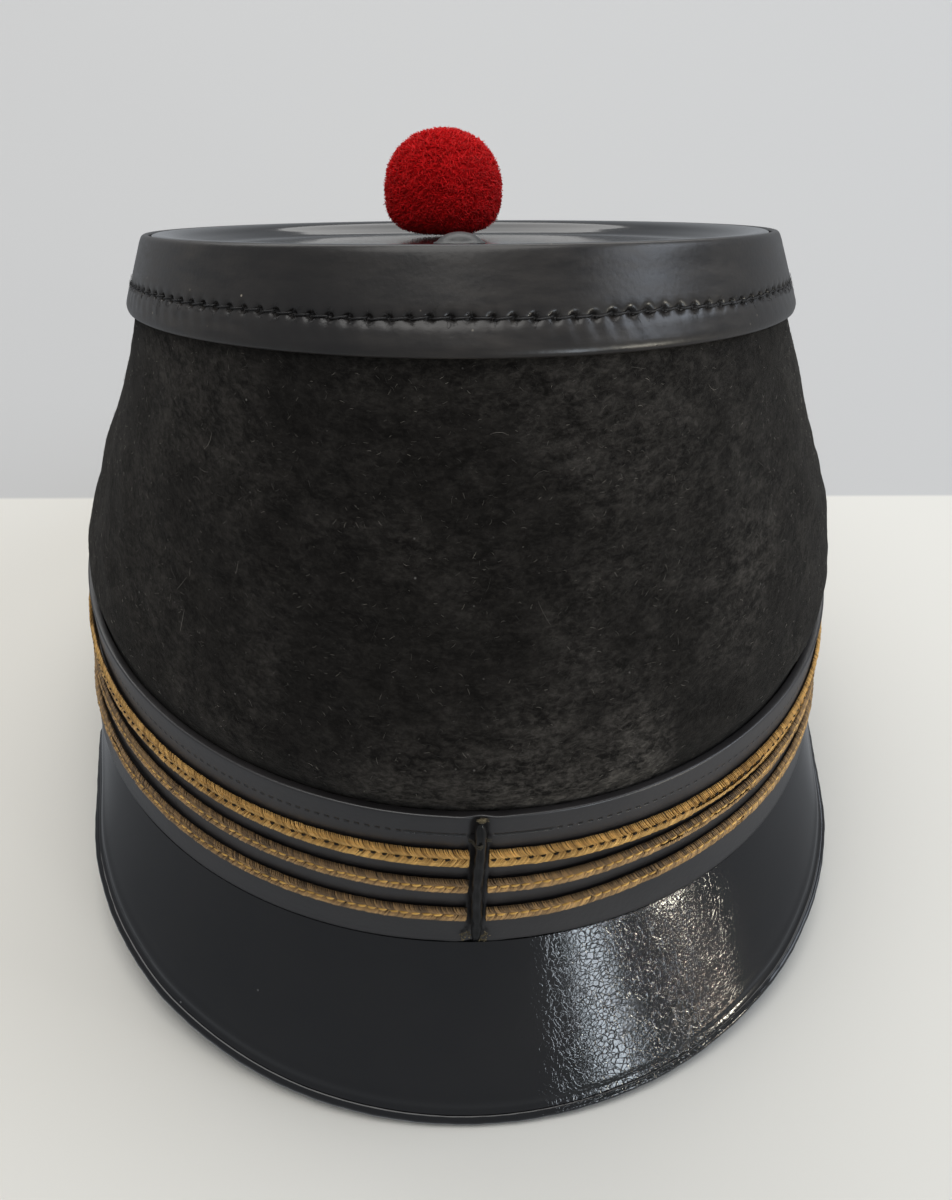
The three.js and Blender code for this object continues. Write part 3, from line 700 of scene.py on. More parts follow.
# dished top
dish = {
    "slope": 8.0,
    "depth": 3.2,
    "thickness": 2.0,
    "underReach": 8.5,
    "underRise": 0.9,
    "columns": 256,
}
dishProfile = {
    "inward": (0, 0.12, 0.35, 0.66, 1.0, 1.35),
    "down": (0.08, 0.0, 0.16, 0.62, 1.0, 1.02),
}


def dishPlace():
    rim = [(0.0, 0.6), (0.05, 0.35)]
    inwards = np.linspace(0.03, 1.35, 22)
    downs = smoothRead(dishProfile["inward"], dishProfile["down"], inwards)
    slope = [(inward * dish["slope"], down * dish["depth"]) for inward, down in zip(inwards, downs)]
    flatShares = np.linspace(0.93, 0.0, 15)
    under = np.linspace(0.0, 1.0, 6)
    rows = len(rim) + len(slope) + len(flatShares) + len(under)

    def placeRow(column, row):
        turn = column / dish["columns"] * 2 * math.pi
        inward = np.zeros(len(row))
        down = np.zeros(len(row))
        share = np.ones(len(row))
        for index, (a, b) in enumerate(rim + slope):
            pick = row == index
            inward[pick], down[pick] = a, b
        start = len(rim) + len(slope)
        lastIn, lastDown = slope[-1]
        for index, value in enumerate(flatShares):
            pick = row == start + index
            inward[pick], down[pick], share[pick] = lastIn, lastDown, value
        for index, value in enumerate(under):
            pick = row == start + len(flatShares) + index
            inward[pick] = dish["underReach"] * (1 - value)
            down[pick] = dish["thickness"] + lastDown - dish["underRise"] * value ** 2
            share[pick] = value
        closing = row == rows
        inward[closing], down[closing] = rim[0]
        top = np.full(len(row), hatForm["crownHeight"])
        ring = hatPoint(turn, top, -inward, True, down)
        centre = hatPoint(np.zeros(len(row)), top, -inward, True, down)
        middleY = hatForm["middle"][-1] * hatForm["headLength"] / 2
        centre[:, 0], centre[:, 1] = 0, middleY
        centre[:, 2] = hatForm["crownHeight"] - down
        points = centre + (ring - centre) * share[:, None]
        isFlat = (share < 1) * (row < start + len(flatShares))
        points[:, 2] += 0.05 * wander(points[:, 0] * 0.05, points[:, 1], 44, 8, 1.0) * isFlat
        return points, np.stack([points[:, 0], points[:, 1]], axis=-1)

    return placeRow, rows


dishPlacer, dishRows = dishPlace()
glossyTop = rolledSheet("glossyTop", dish["columns"], dishRows, dishPlacer)
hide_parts("crown_top")
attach(glossyTop, "root")
print("dished top made")


def onTop(along, lift):
    # a place over the flat of the top, in hat millimetres
    slope = math.radians(hatForm["crownTilt"])
    pivot = hatForm["middle"][-1] * hatForm["headLength"] / 2
    height = hatForm["crownHeight"] - dish["depth"] - math.tan(slope) * (along - pivot)
    normal = np.array([0, math.sin(slope), math.cos(slope)])
    return np.array([0.0, along, height]) + normal * lift


def topTurned(points, along, lift):
    # points made in millimetres about their own foot, turned onto the top, in the frame
    slope = -math.radians(hatForm["crownTilt"])
    turned = np.array(points)
    y, z = points[..., 1], points[..., 2]
    turned[..., 1] = y * math.cos(slope) - z * math.sin(slope)
    turned[..., 2] = y * math.sin(slope) + z * math.cos(slope)
    return standing(turned + onTop(along, lift))


# vent button
ventButton = {"sides": 64, "along": -8.5, "lift": 0.3}
# rows of radius and height
ventProfile = ((5.35, 0.0), (5.4, 0.1), (5.32, 0.25), (5.0, 0.38), (4.7, 0.52), (4.35, 0.85), (3.8, 1.32),
               (3.1, 1.75), (2.2, 2.1), (1.2, 2.32), (0.5, 2.39), (0.0, 2.4))
deselectAll()
bpy.ops.mesh.primitive_circle_add(vertices=ventButton["sides"], radius=ventProfile[0][0], fill_type="NOTHING")
button = bpy.context.active_object
button.name = "ventDome"
bpy.ops.object.mode_set(mode="EDIT")
bpy.ops.mesh.select_all(action="SELECT")
for (radius, height), (nextRadius, nextHeight) in zip(ventProfile[:-1], ventProfile[1:]):
    bpy.ops.mesh.extrude_region_move(TRANSFORM_OT_translate={"value": (0, 0, nextHeight - height)})
    scale = max(nextRadius, 0.02) / radius if radius else 1
    bpy.ops.transform.resize(value=(scale, scale, 1))
bpy.ops.mesh.merge(type="COLLAPSE")
bpy.ops.mesh.select_all(action="DESELECT")
bpy.ops.mesh.select_non_manifold(extend=False)
bpy.ops.mesh.edge_face_add()
bpy.ops.mesh.inset(thickness=0.6)
bpy.ops.mesh.select_all(action="SELECT")
bpy.ops.mesh.normals_make_consistent(inside=False)
bpy.ops.object.mode_set(mode="OBJECT")
bpy.ops.object.shade_smooth_by_angle(angle=math.radians(45))
setPoints(button.data, topTurned(readPoints(button.data), ventButton["along"], ventButton["lift"]))
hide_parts("vent_button")
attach(button, "root")
print("vent button made")

# band
band = {
    "height": 37.7,
    "wall": 1.8,
    "clear": 0.3,
    "columns": 720,
    "rounding": 0.55,
}
# the braids stop beside the keeper, so its sizes come before them
keeper = {"foot": 2.2, "head": 37.3, "width": 2.4, "depth": 2.2, "clear": 0.45, "sides": 28, "columns": 90,
          "knotUp": 37.4, "knotThreads": 26, "crossUps": (31.4, 31.9), "crumbs": 44, "threadOut": 2.3,
          "nearRadius": 105}
seamTurn = math.radians(hatForm["seamTurn"])


def bandRelief(turn, out, up):
    outside = out > 1.2
    seam = np.abs((turn - seamTurn + math.pi) % (2 * math.pi) - math.pi)
    waves = 0.1 * wander(turn, up, 51, 10, 1.5) + 0.04 * wander(turn, up, 52, 14, 6.0)
    seamDip = -0.5 * hump(seam, 0, 0.02)
    nearSeam = 0.14 * hump(seam, 0.045, 0.02)
    piping = 0.28 * hump(up, 1.0, 0.55) - 0.16 * hump(up, 2.1, 0.35)
    return outside * (waves + seamDip + nearSeam + piping)


bandFace = band["clear"] + band["wall"]
bandSection = softSection(
    [(band["clear"], 0.0, 0.3), (bandFace, 0.0, band["rounding"]),
     (bandFace, band["height"], band["rounding"]), (band["clear"], band["height"], 0.3)],
    1.15, 4)
# the inner face needs few rows
keepRow = (bandSection[:, 0] > 0.35) | (np.arange(len(bandSection)) % 4 == 0)
bandSection = bandSection[keepRow]
leatherBand = ringPiece("leatherBand", bandSection, band["columns"], bandRelief)
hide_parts("band")
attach(leatherBand, "root")
print("band made")

# braids: two rows of slanted threads over a core, with a stitched groove between them
plainBraid = {"pitch": 0.44, "slant": 1.2, "thread": 0.25, "stitch": 2.0, "stitchLength": 1.55,
              "stitchSlope": 0.12, "stitchLift": 0.62, "stitchRadius": 0.27}
braids = {
    "upper": {"base": 24.5, "width": 4.8, "climb": 0.0, "upperLobeDarkening": 0.05, "pitch": 0.4, "slant": 1.5,
              "thread": 0.23, "stitch": 2.2, "stitchLength": 0.8, "stitchSlope": 0.2, "stitchLift": 0.74,
              "stitchRadius": 0.22},
    "middle": {**plainBraid, "base": 16.8, "width": 4.0, "climb": 1.9, "upperLobeDarkening": 0.35},
    "lower": {**plainBraid, "base": 7.9, "width": 4.2, "climb": 2.6, "upperLobeDarkening": 0.3},
}
braidClimb = {"turn": (0, 8, 20, 32, 50, 90, 130, 360), "share": (0, 0.1, 0.75, 1, 0.9, 0.3, 0, 0)}
braidSeat = 2.4
braidThick = 1.0
braidColumns = 300


def turnAtLength(length):
    fine = np.linspace(0, 2 * math.pi, 3001)
    return np.interp(length, arcLength(fine), fine)


def climbAt(turn, climb):
    # how much higher a braid runs at a turn
    return climb * np.interp(np.degrees(turn), braidClimb["turn"], braidClimb["share"])


def braidLobe(share):
    # height of the braid's surface over its seat, share 0 to 1 across its width
    lobe = np.abs(np.sin(2 * math.pi * share)) ** 0.6
    return braidThick * (0.25 + 0.62 * lobe)


def braidPieces(key):
    made = braids[key]
    base, width = made["base"], made["width"]
    total = float(arcLength(2 * math.pi))
    startLength = keeper["width"] / 2 + keeper["clear"]
    endLength = total - keeper["width"] / 2 - keeper["clear"]
    startTurn = seamTurn + float(turnAtLength(startLength))
    endTurn = seamTurn + float(turnAtLength(endLength))
    outline = [(braidSeat, 0.1), (braidSeat, 0.5), (braidSeat, 0.9)]
    ridge = [(braidSeat + braidLobe(s) * 0.82 - 0.06, 1 - s) for s in np.linspace(0.04, 0.96, 13)]
    section = np.array(outline + ridge)
    closedSection = np.vstack([section, section[:1]])

    def core(column, row):
        turn = startTurn + (endTurn - startTurn) * column / braidColumns
        out, up = closedSection[row, 0], base + climbAt(turn, made["climb"]) + closedSection[row, 1] * width
        return hatPoint(turn, up, out), np.stack([arcLength(turn), closedSection[row, 1] * width], axis=-1)

    ribbon = rolledSheet("braid" + key.capitalize() + "Core", braidColumns, len(section), core)
    closeEnds(bpy.ops.mesh.edge_face_add)

    chance = np.random.default_rng(int(base * 10))
    count = int((endLength - startLength + made["slant"]) / made["pitch"])
    along = startLength - made["slant"] + np.arange(count) * made["pitch"]
    group = np.arange(count) // 3
    high = np.repeat(chance.normal(0, 0.035, count // 3 + 1), 3)[:count, None]
    paths, radii, tones = [], [], []
    for half in (0, 1):
        lowerHalf = np.array([0.02, 0.14, 0.3, 0.43, 0.53])
        upperHalf = np.array([0.98, 0.86, 0.7, 0.57, 0.47])
        share = lowerHalf if half == 0 else upperHalf
        lift = braidLobe(share) + np.array([-0.12, 0.02, 0.06, 0.04, 0.1])
        shift = np.array([0, 0.22, 0.55, 0.85, 1.0]) * made["slant"]
        where = along[:, None] + shift + chance.normal(0, 0.05, (count, 1))
        where = seamTurn + turnAtLength(np.clip(where, startLength + 0.2, endLength - 0.2))
        up = base + climbAt(where, made["climb"]) + width * share + chance.normal(0, 0.03, (count, 1))
        out = braidSeat + lift + high + chance.normal(0, 0.02, (count, 1))
        paths.append(standing(hatPoint(where, up, out)))
        radii.append(np.broadcast_to(made["thread"] * np.array([0.7, 1, 1, 1, 0.6]) / 1000, (count, 5)))
        bundle = np.repeat(chance.uniform(0, 1, count // 3 + 1), 3)[:count]
        bundle = bundle * np.where(group % 2 == 0, 1.0, 0.55)
        # the threads of the upper lobe are made darker than those of the lower lobe
        upperLobeDarkening = 0.0 if half == 0 else made["upperLobeDarkening"]
        tones.append(np.clip(0.3 * bundle + 0.7 * chance.uniform(0, 1, count) - upperLobeDarkening, 0, 1))
    weave = threadPiece("braid" + key.capitalize() + "Weave", np.concatenate(paths), np.concatenate(radii),
                        tone=np.concatenate(tones))
    grooveCount = int((endLength - startLength - 2) / made["stitch"])
    grooveAlong = startLength + 1 + np.arange(grooveCount) * made["stitch"]
    grooveAlong = grooveAlong + chance.normal(0, 0.08, grooveCount)
    reach = np.linspace(-0.5, 0.5, 5) * made["stitchLength"]
    grooveTurn = seamTurn + turnAtLength(grooveAlong[:, None] + reach)
    grooveUp = base + climbAt(grooveTurn, made["climb"]) + width * 0.5 + reach * made["stitchSlope"]
    grooveOut = braidSeat + made["stitchLift"] + 0.2 * (1 - np.linspace(-1, 1, 5) ** 2)
    groovePaths = standing(hatPoint(grooveTurn, grooveUp, grooveOut))
    thick = made["stitchRadius"] * np.array([0.6, 1, 1, 1, 0.6]) / 1000
    stitches = threadPiece("braid" + key.capitalize() + "Stitches", groovePaths,
                           np.broadcast_to(thick, groovePaths.shape[:2]), sides=5)
    for piece in (ribbon, weave, stitches):
        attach(piece, "root")
    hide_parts("braid_" + key)
    return ribbon, weave, stitches


upperBraid = braidPieces("upper")
middleBraid = braidPieces("middle")
lowerBraid = braidPieces("lower")
print("braids woven")


def keeperPlace(column, row):
    # the keeper is a rolled strip over the band's seam
    share = column / keeper["columns"]
    height = keeper["foot"] + (keeper["head"] - keeper["foot"]) * share
    angle = row / keeper["sides"] * 2 * math.pi
    closing = np.sqrt(np.clip(1 - (2 * np.abs(share - 0.5)) ** 14, 0, 1))
    half = keeper["width"] / 2 * (0.88 + 0.05 * np.sin(share * 23) + 0.05 * np.sin(share * 61 + 1)) * closing
    fold = 1 - 0.3 * hump(np.cos(angle), -0.1, 0.16)
    across = half * np.cos(angle) + 0.16 * np.sin(share * 9.0 + 0.6)
    outerFold = np.where(np.sin(angle) > 0, fold, 1.0)
    out = braidSeat + 0.95 + (keeper["depth"] / 2 - 0.1) * closing * np.sin(angle) * outerFold
    out = out + 0.1 * np.sin(share * 37)
    base = hatPoint(seamTurn, height, out)
    base[:, 0] += across
    return base, np.stack([across, height], axis=-1)


seamKeeper = rolledSheet("keeperRoll", keeper["columns"], keeper["sides"], keeperPlace)
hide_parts("seam_keeper")
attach(seamKeeper, "root")


def keeperThreadPaths():
    chance = np.random.default_rng(71)
    paths, tones = [], []
    steps = np.linspace(0, 1, 7)
    for _ in range(keeper["knotThreads"]):  # frayed knot at the head
        angle, size = chance.uniform(0, 6.28), chance.uniform(0.5, 1.3)
        across = 0.3 + size * np.cos(angle + 3.2 * steps) * (0.6 + 0.4 * steps)
        height = keeper["knotUp"] + 0.8 * size * np.sin(angle + 3.2 * steps) * 0.6
        out = keeper["threadOut"] + 0.9 * chance.uniform(0, 1) + 0.6 * np.sin(steps * 3 + angle)
        line = hatPoint(seamTurn, height, out)
        line[:, 0] += across
        paths.append(line)
        tones.append(chance.uniform(0.3, 0.8))
    for level in keeper["crossUps"]:  # threads laid across the keeper
        across = np.linspace(-2.6, 2.6, 7)
        out = 2.55 + 2.1 * np.exp(-(across / 1.05) ** 4)
        height = level + 0.25 * np.sin(across * 1.4)
        line = hatPoint(seamTurn + across / keeper["nearRadius"], height, out)
        paths.append(line)
        tones.append(0.15)
    for _ in range(keeper["crumbs"]):  # worn crumbs and hairs at the foot
        side = chance.choice((-1, 1))
        across = side * chance.uniform(1.1, 3.4) + np.cumsum(chance.normal(0, 0.16, 7))
        height = chance.uniform(0.9, 4.0) + np.cumsum(chance.normal(0, 0.14, 7))
        out = keeper["threadOut"] + 0.18 + 0.2 * chance.uniform(0, 1) * np.sin(steps * 3.1)
        line = hatPoint(seamTurn + across / keeper["nearRadius"], height, out)
        paths.append(line)
        tones.append(chance.uniform(0.55, 1.0))
    return standing(np.array(paths)), np.array(tones)


keeperPaths, keeperTones = keeperThreadPaths()
keeperTaper = np.array([0.5, 0.9, 1, 1, 1, 0.9, 0.5])
keeperRadii = np.where(keeperTones < 0.2, 0.2, 0.075)[:, None] * keeperTaper / 1000
keeperThreads = threadPiece("keeperThreads", keeperPaths, keeperRadii, sides=5, tone=keeperTones)
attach(keeperThreads, "root")
print("keeper made")

# peak
peak = {
    "drop": 39.5,
    "reach": 13.1,
    "thickness": 1.8,
    "bow": 0.4,
    "setback": 0.15,
    "binding": 1.25,
    "clear": 0.3,
    "columns": 320,
    "outerRows": 46,
    "edgeRows": 5,
    "underRows": 14,
    "backRows": 3,
    "bindingColumns": 420,
    "bindingSides": 32,
    "turns": (0, 20, 40, 50, 60, 70, 78),
    "reachShares": (0.89, 0.95, 1.0, 0.92, 0.7, 0.28, 0.04),
    "dropShares": (1.0, 0.94, 0.755, 0.615, 0.45, 0.27, 0.15),
}


def mirrored(turnsTable, sharesTable, degrees):
    turns = [-value for value in turnsTable[:0:-1]] + list(turnsTable)
    shares = list(sharesTable[:0:-1]) + list(sharesTable)
    return smoothRead(turns, shares, degrees)


def peakPoint(turn, across):
    # the peak's outer face, in hat millimetres
    out = peak["clear"] + band["wall"] - peak["setback"]
    root = hatPoint(turn, np.zeros_like(turn), out)
    root[..., 2] = -peak["clear"]
    halfWidth = hatForm["headWidth"] / 2 + out
    near = hatForm["headLength"] / 2 + out
    outward = np.stack([np.sin(turn) * near, -np.cos(turn) * halfWidth, np.zeros_like(turn)], axis=-1)
    outward /= np.linalg.norm(outward, axis=-1, keepdims=True)
    degrees = np.degrees(turn)
    reach = peak["setback"] + peak["reach"] * mirrored(peak["turns"], peak["reachShares"], degrees)
    drop = peak["drop"] * mirrored(peak["turns"], peak["dropShares"], degrees)
    bow = peak["bow"] * np.sin(math.pi * across) * drop / peak["drop"]
    point = root + outward * (across * reach + bow)[..., None]
    point[..., 2] -= across * drop
    return point


def peakNormal(turn, across):
    small = 0.01
    around = peakPoint(turn + small, across) - peakPoint(turn - small, across)
    down = peakPoint(turn, across + small) - peakPoint(turn, across - small)
    normal = np.cross(down, around)
    return normal / np.linalg.norm(normal, axis=-1, keepdims=True)


def peakWidth(turn):
    return np.linalg.norm(peakPoint(turn, np.zeros_like(turn)) - peakPoint(turn, np.ones_like(turn)), axis=-1)


def peakPlace(column, row):
    lastTurn = math.radians(peak["turns"][-1])
    turn = -lastTurn + 2 * lastTurn * column / peak["columns"]
    outer, edgeRows, underRows = peak["outerRows"], peak["edgeRows"], peak["underRows"]
    leather = 1 - (2 * peak["binding"] + peak["clear"] * 0.4) / peakWidth(turn)
    share = np.where(row <= outer, row / outer, 1.0)
    share = np.where(row >= outer + edgeRows, 1 - (row - outer - edgeRows) / underRows, share)
    share = np.clip(share, 0, 1)
    depth = np.clip((row - outer) / edgeRows, 0, 1)
    behind = row - outer - edgeRows - underRows
    depth = np.where(behind > 0, 1 - behind / peak["backRows"], depth)
    across = share * leather
    normal = peakNormal(turn, across)
    # a shallow groove just inside the rolled edge, and a very slight unevenness
    distance = (1 - share) * leather * peakWidth(turn)
    groove = -0.32 * hump(distance, 1.1, 0.7) + 0.1 * hump(distance, 3.0, 1.0)
    uneven = 0.09 * wander(turn, across * 40, 61, 10, 2.0)
    front = (row <= outer) * (groove + uneven * np.clip(distance / 6, 0, 1) * np.clip(share * 8, 0, 1))
    point = peakPoint(turn, across) + normal * (front - depth * peak["thickness"])[:, None]
    point[:, 2] = np.minimum(point[:, 2], -peak["clear"])
    along = arcLength(turn)
    return point, np.stack([along * 1.1, across * peakWidth(turn)], axis=-1)


peakRows = peak["outerRows"] + peak["edgeRows"] + peak["underRows"] + peak["backRows"]
peakLeather = rolledSheet("peakLeather", peak["columns"], peakRows, peakPlace)
closeEnds(bpy.ops.mesh.fill)
bpy.ops.object.shade_smooth_by_angle(angle=math.radians(50))
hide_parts("peak")
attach(peakLeather, "root")


def bindingPlace(column, row):
    lastTurn = math.radians(peak["turns"][-1])
    share = column / peak["bindingColumns"]
    turn = -lastTurn + 2 * lastTurn * share
    across = 1 - peak["binding"] / peakWidth(turn)
    normal = peakNormal(turn, np.ones_like(turn))
    centre = peakPoint(turn, across) - normal * peak["thickness"] / 2
    small = 0.004
    aheadTurn, backTurn = turn + small, turn - small
    ahead = peakPoint(aheadTurn, 1 - peak["binding"] / peakWidth(aheadTurn))
    back = peakPoint(backTurn, 1 - peak["binding"] / peakWidth(backTurn))
    tangent = (ahead - back) / np.linalg.norm(ahead - back, axis=-1, keepdims=True)
    sideways = np.cross(tangent, normal)
    angle = row / peak["bindingSides"] * 2 * math.pi
    closing = np.sqrt(np.clip(1 - (2 * np.abs(share - 0.5)) ** 400, 0, 1))
    crease = 1 - 0.14 * hump(angle, 1.95, 0.13) - 0.08 * hump(angle, 0.5, 0.12)
    lumps = 1 + 0.02 * np.sin(share * 170) + 0.02 * np.sin(share * 411)
    radius = peak["binding"] * closing * crease * lumps
    offset = normal * np.sin(angle)[:, None] + sideways * np.cos(angle)[:, None]
    return centre + offset * radius[:, None], np.stack([arcLength(turn) * 1.2, angle * 1.25], axis=-1)


peakBinding = rolledSheet("peakRolledEdge", peak["bindingColumns"], peak["bindingSides"], bindingPlace)
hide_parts("peak_binding")
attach(peakBinding, "root")
print("peak made")

# pompom: a wool head with a dense cut pile
pompom = {"radius": 14.2, "seat": 10.7, "along": 47.0, "lift": 11.0, "square": 2.1, "footSquare": 3.1,
          "pile": 1.25, "tufts": 9000}


def woolPoint(away, radius):
    square = np.where(away[..., 2] < 0, pompom["footSquare"], pompom["square"])
    breadth = np.hypot(away[..., 0], away[..., 1]) ** square
    height = np.abs(away[..., 2]) ** square
    full = radius * (breadth + height) ** (-1 / square)
    press = np.where(away[..., 2] < 0, pompom["seat"] / pompom["radius"], 1.0)
    point = away * full[..., None]
    point[..., 2] *= press
    return point


deselectAll()
bpy.ops.mesh.primitive_ico_sphere_add(subdivisions=6, radius=1)
woolHead = bpy.context.active_object
woolHead.name = "woolHead"
headAway = readPoints(woolHead.data)
headAway = headAway / np.linalg.norm(headAway, axis=1, keepdims=True)
headTurn = np.arctan2(headAway[:, 1], headAway[:, 0])
bumpy = 1 + 0.012 * wander(headTurn, headAway[:, 2] * 60, 81, 24, 6.0)
headPoints = woolPoint(headAway, pompom["radius"] - pompom["pile"] * 0.75) * bumpy[:, None]
setPoints(woolHead.data, topTurned(headPoints, pompom["along"], pompom["lift"]))
bpy.ops.object.shade_smooth()


def woolPile():
    chance = np.random.default_rng(91)
    count = pompom["tufts"]
    index = np.arange(count) + 0.5
    height = 1 - 2 * index / count
    turn = index * math.pi * (3 - math.sqrt(5))
    breadth = np.sqrt(1 - height ** 2)
    away = np.stack([breadth * np.cos(turn), breadth * np.sin(turn), height], axis=-1)
    away += chance.normal(0, 0.012, away.shape)
    away /= np.linalg.norm(away, axis=1, keepdims=True)
    lean = chance.normal(0, 0.05, (count, 3))
    lean[:, 2] -= 0.012
    reach = pompom["radius"] - pompom["pile"] + pompom["pile"] * np.array([-0.3, 0.45, 1.0])
    length = chance.normal(0, 0.13, count) * (1 + 1.2 * (chance.uniform(0, 1, count) > 0.97))
    paths = []
    for step, radius in enumerate(reach):
        tipAway = away + lean * step
        tipAway /= np.linalg.norm(tipAway, axis=1, keepdims=True)
        point = woolPoint(tipAway, radius)
        paths.append(point * (1 + length[:, None] * 0.04 * step))
    paths = np.stack(paths, axis=1)
    radii = chance.uniform(0.11, 0.2, count)[:, None] * np.array([1, 1, 0.45]) / 1000
    return threadPiece("woolPile", topTurned(paths, pompom["along"], pompom["lift"]), radii,
                       tone=chance.uniform(0, 1, count))


pile = woolPile()
for piece in (woolHead, pile):
    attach(piece, "root")
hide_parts("pompom")
print("pompom made")

# finishes
feltMaterial, tree, shader = finish("blackFelt", (0.012, 0.0115, 0.0115), 0.96, {
    "Sheen Weight": 0.06, "Sheen Roughness": 0.5, "Sheen Tint": (0.55, 0.53, 0.5, 1),
    "Specular IOR Level": 0.12})
where = objectPlace(tree)
brushed = node(tree, "ShaderNodeMapping", Scale=(1.0, 1.0, 1.7))
join(tree, where, brushed.inputs["Vector"])
nap = noise(tree, brushed.outputs["Vector"], 680.0, 6.0, Roughness=0.75, Distortion=0.4)
tufts = noise(tree, brushed.outputs["Vector"], 190.0, 5.0, Roughness=0.7, Distortion=0.3)
cloudy = noise(tree, where, 21.0, 5.0, Roughness=0.62, Distortion=0.4)
fx, _, fz = objectAxes(tree, where)
# the nap is painted paler in a patch on the front by the seam: painted light, where the light falls on the
# felt
paintedLightPatch = times(tree, window(tree, fx, -0.012, 0.05, 0.022), window(tree, fz, 0.05, 0.1, 0.02))
# the felt's random mottle, made paler inside the patch of painted light
wearAndPaintedLight = times(tree, spread(tree, cloudy, 0.4, 0.7), plus(tree, times(tree, paintedLightPatch, 0.8), 0.5))
fibre = spread(tree, nap, 0.45, 0.78)
clump = spread(tree, tufts, 0.4, 0.72)
lightness = times(tree, plus(tree, fibre, times(tree, clump, 0.6)),
                  plus(tree, times(tree, wearAndPaintedLight, 0.85), 0.18))
feltColour = blend(tree, lightness, (0.0042, 0.0036, 0.003), (0.098, 0.089, 0.08))
fleck = place(tree, dustFlecks, where, Scale=620.0, Amount=0.14)
paint(tree, shader, times(tree, fleck.outputs["Mask"], 0.7), feltColour, (0.2, 0.19, 0.18))
bump(tree, shader, plus(tree, nap, times(tree, tufts, 0.8)), 0.0005, 0.8)

fibreMaterial, tree, shader = finish("looseFibre", (0.12, 0.115, 0.11), 0.8, {
    "Specular IOR Level": 0.25})
tone = pieceTone(tree)
paint(tree, shader, tone, (0.02, 0.019, 0.018), (0.36, 0.33, 0.29))

skirtMaterial, tree, shader = finish("skirtLeather", (0.018, 0.016, 0.015), 0.36, {
    "Specular IOR Level": 0.5})
where, ownMm = objectPlace(tree), ownMap(tree)[0]
grain = place(tree, leatherGrain, where, Scale=1100.0)
fleck = place(tree, dustFlecks, where, Scale=620.0, Amount=0.22)
stretched = node(tree, "ShaderNodeMapping", Scale=(0.25, 1.6, 1.0))
join(tree, ownMm, stretched.inputs["Vector"])
streak = noise(tree, stretched.outputs["Vector"], 0.35, 4.0, Roughness=0.6)
rubbed = times(tree, grain.outputs["Broad"], spread(tree, streak, 0.3, 0.7))
leatherColour = blend(tree, rubbed, (0.014, 0.0125, 0.012), (0.042, 0.036, 0.031))
paint(tree, shader, fleck.outputs["Mask"], leatherColour, (0.35, 0.31, 0.25))
roughen(tree, shader, rubbed, 0.28, 0.44)
bump(tree, shader, plus(tree, grain.outputs["Height"], streak), 0.00004, 0.5)

stitchMaterial, tree, shader = finish("waxedThread", (0.006, 0.0055, 0.0055), 0.55, {})
twist = noise(tree, objectPlace(tree), 2200.0, 2.0)
paint(tree, shader, twist, (0.003, 0.003, 0.003), (0.014, 0.012, 0.012))
bump(tree, shader, twist, 0.0001, 0.6)

patentMaterial, tree, shader = finish("patentLeather", (0.006, 0.0065, 0.009), 0.2, {
    "Specular IOR Level": 0.12, "Coat Weight": 1.0, "Coat Roughness": 0.07})
where = objectPlace(tree)
grain = place(tree, leatherGrain, where, Scale=1100.0)
lines = place(tree, crackle, where, Scale=900.0, Width=0.08)
broken = place(tree, crackle, where, Scale=380.0, Width=0.035)
wrinkle = noise(tree, where, 1500.0, 3.0, Roughness=0.6, Distortion=0.5)
fleck = place(tree, dustFlecks, where, Scale=420.0, Amount=0.1)
sx, sy, _ = objectAxes(tree, where)
crackedSide = times(tree, window(tree, sx, 0.014, 0.05, 0.008), window(tree, sy, -0.13, -0.07, 0.008))
faint = plus(tree, times(tree, crackedSide, 0.95), 0.03)
finelyCracked = plus(tree, times(tree, lines.outputs["Lines"], -0.5),
                     times(tree, broken.outputs["Lines"], -0.4))
raised = plus(tree, times(tree, lines.outputs["Plates"], 0.25), times(tree, wrinkle, 0.9))
patentColour = blend(tree, grain.outputs["Broad"], (0.0035, 0.0038, 0.005), (0.0075, 0.007, 0.0075))
paint(tree, shader, fleck.outputs["Mask"], patentColour, (0.3, 0.3, 0.3))
roughen(tree, shader, grain.outputs["Broad"], 0.16, 0.28)
relief = plus(tree, times(tree, plus(tree, finelyCracked, raised), faint),
              times(tree, grain.outputs["Height"], 0.03))
bump(tree, shader, relief, 0.000065, 0.8)
join(tree, shader.inputs["Normal"].links[0].from_socket, shader.inputs["Coat Normal"])

buttonMaterial, tree, shader = finish("buttonCover", (0.03, 0.03, 0.03), 0.34, {})
where = objectPlace(tree)
grain = place(tree, leatherGrain, where, Scale=800.0)
paint(tree, shader, grain.outputs["Broad"], (0.02, 0.02, 0.02), (0.05, 0.05, 0.048))
bump(tree, shader, grain.outputs["Height"], 0.00005, 0.5)

bandMaterial, tree, shader = finish("bandLeather", (0.014, 0.0135, 0.0135), 0.36, {
    "Specular IOR Level": 0.8})
where = objectPlace(tree)
ownMm, alongMm, upMm = ownMap(tree)
grain = place(tree, leatherGrain, where, Scale=900.0)
dots = maths(tree, "FRACT", maths(tree, "DIVIDE", alongMm, 1.9))
heightMm = maths(tree, "SUBTRACT", upMm, 1.8)
rough = noise(tree, ownMm, 1.1, 3.0, Roughness=0.7)
frayed = plus(tree, heightMm, times(tree, rough, 1.1))
dotRow = window(tree, heightMm, 32.6, 33.1, 0.1)
dotMask = times(tree, window(tree, dots, 0.25, 0.65, 0.08), dotRow)
slitReach = maths(tree, "ABSOLUTE", plus(tree, alongMm, 2.1))
slitPlace = times(tree, window(tree, slitReach, 3.0, 13.0, 0.6), window(tree, frayed, 33.1, 33.7, 0.1))
slits = times(tree, slitPlace, spread(tree, rough, 0.34, 0.4))
dotMask = maths(tree, "MAXIMUM", dotMask, slits)
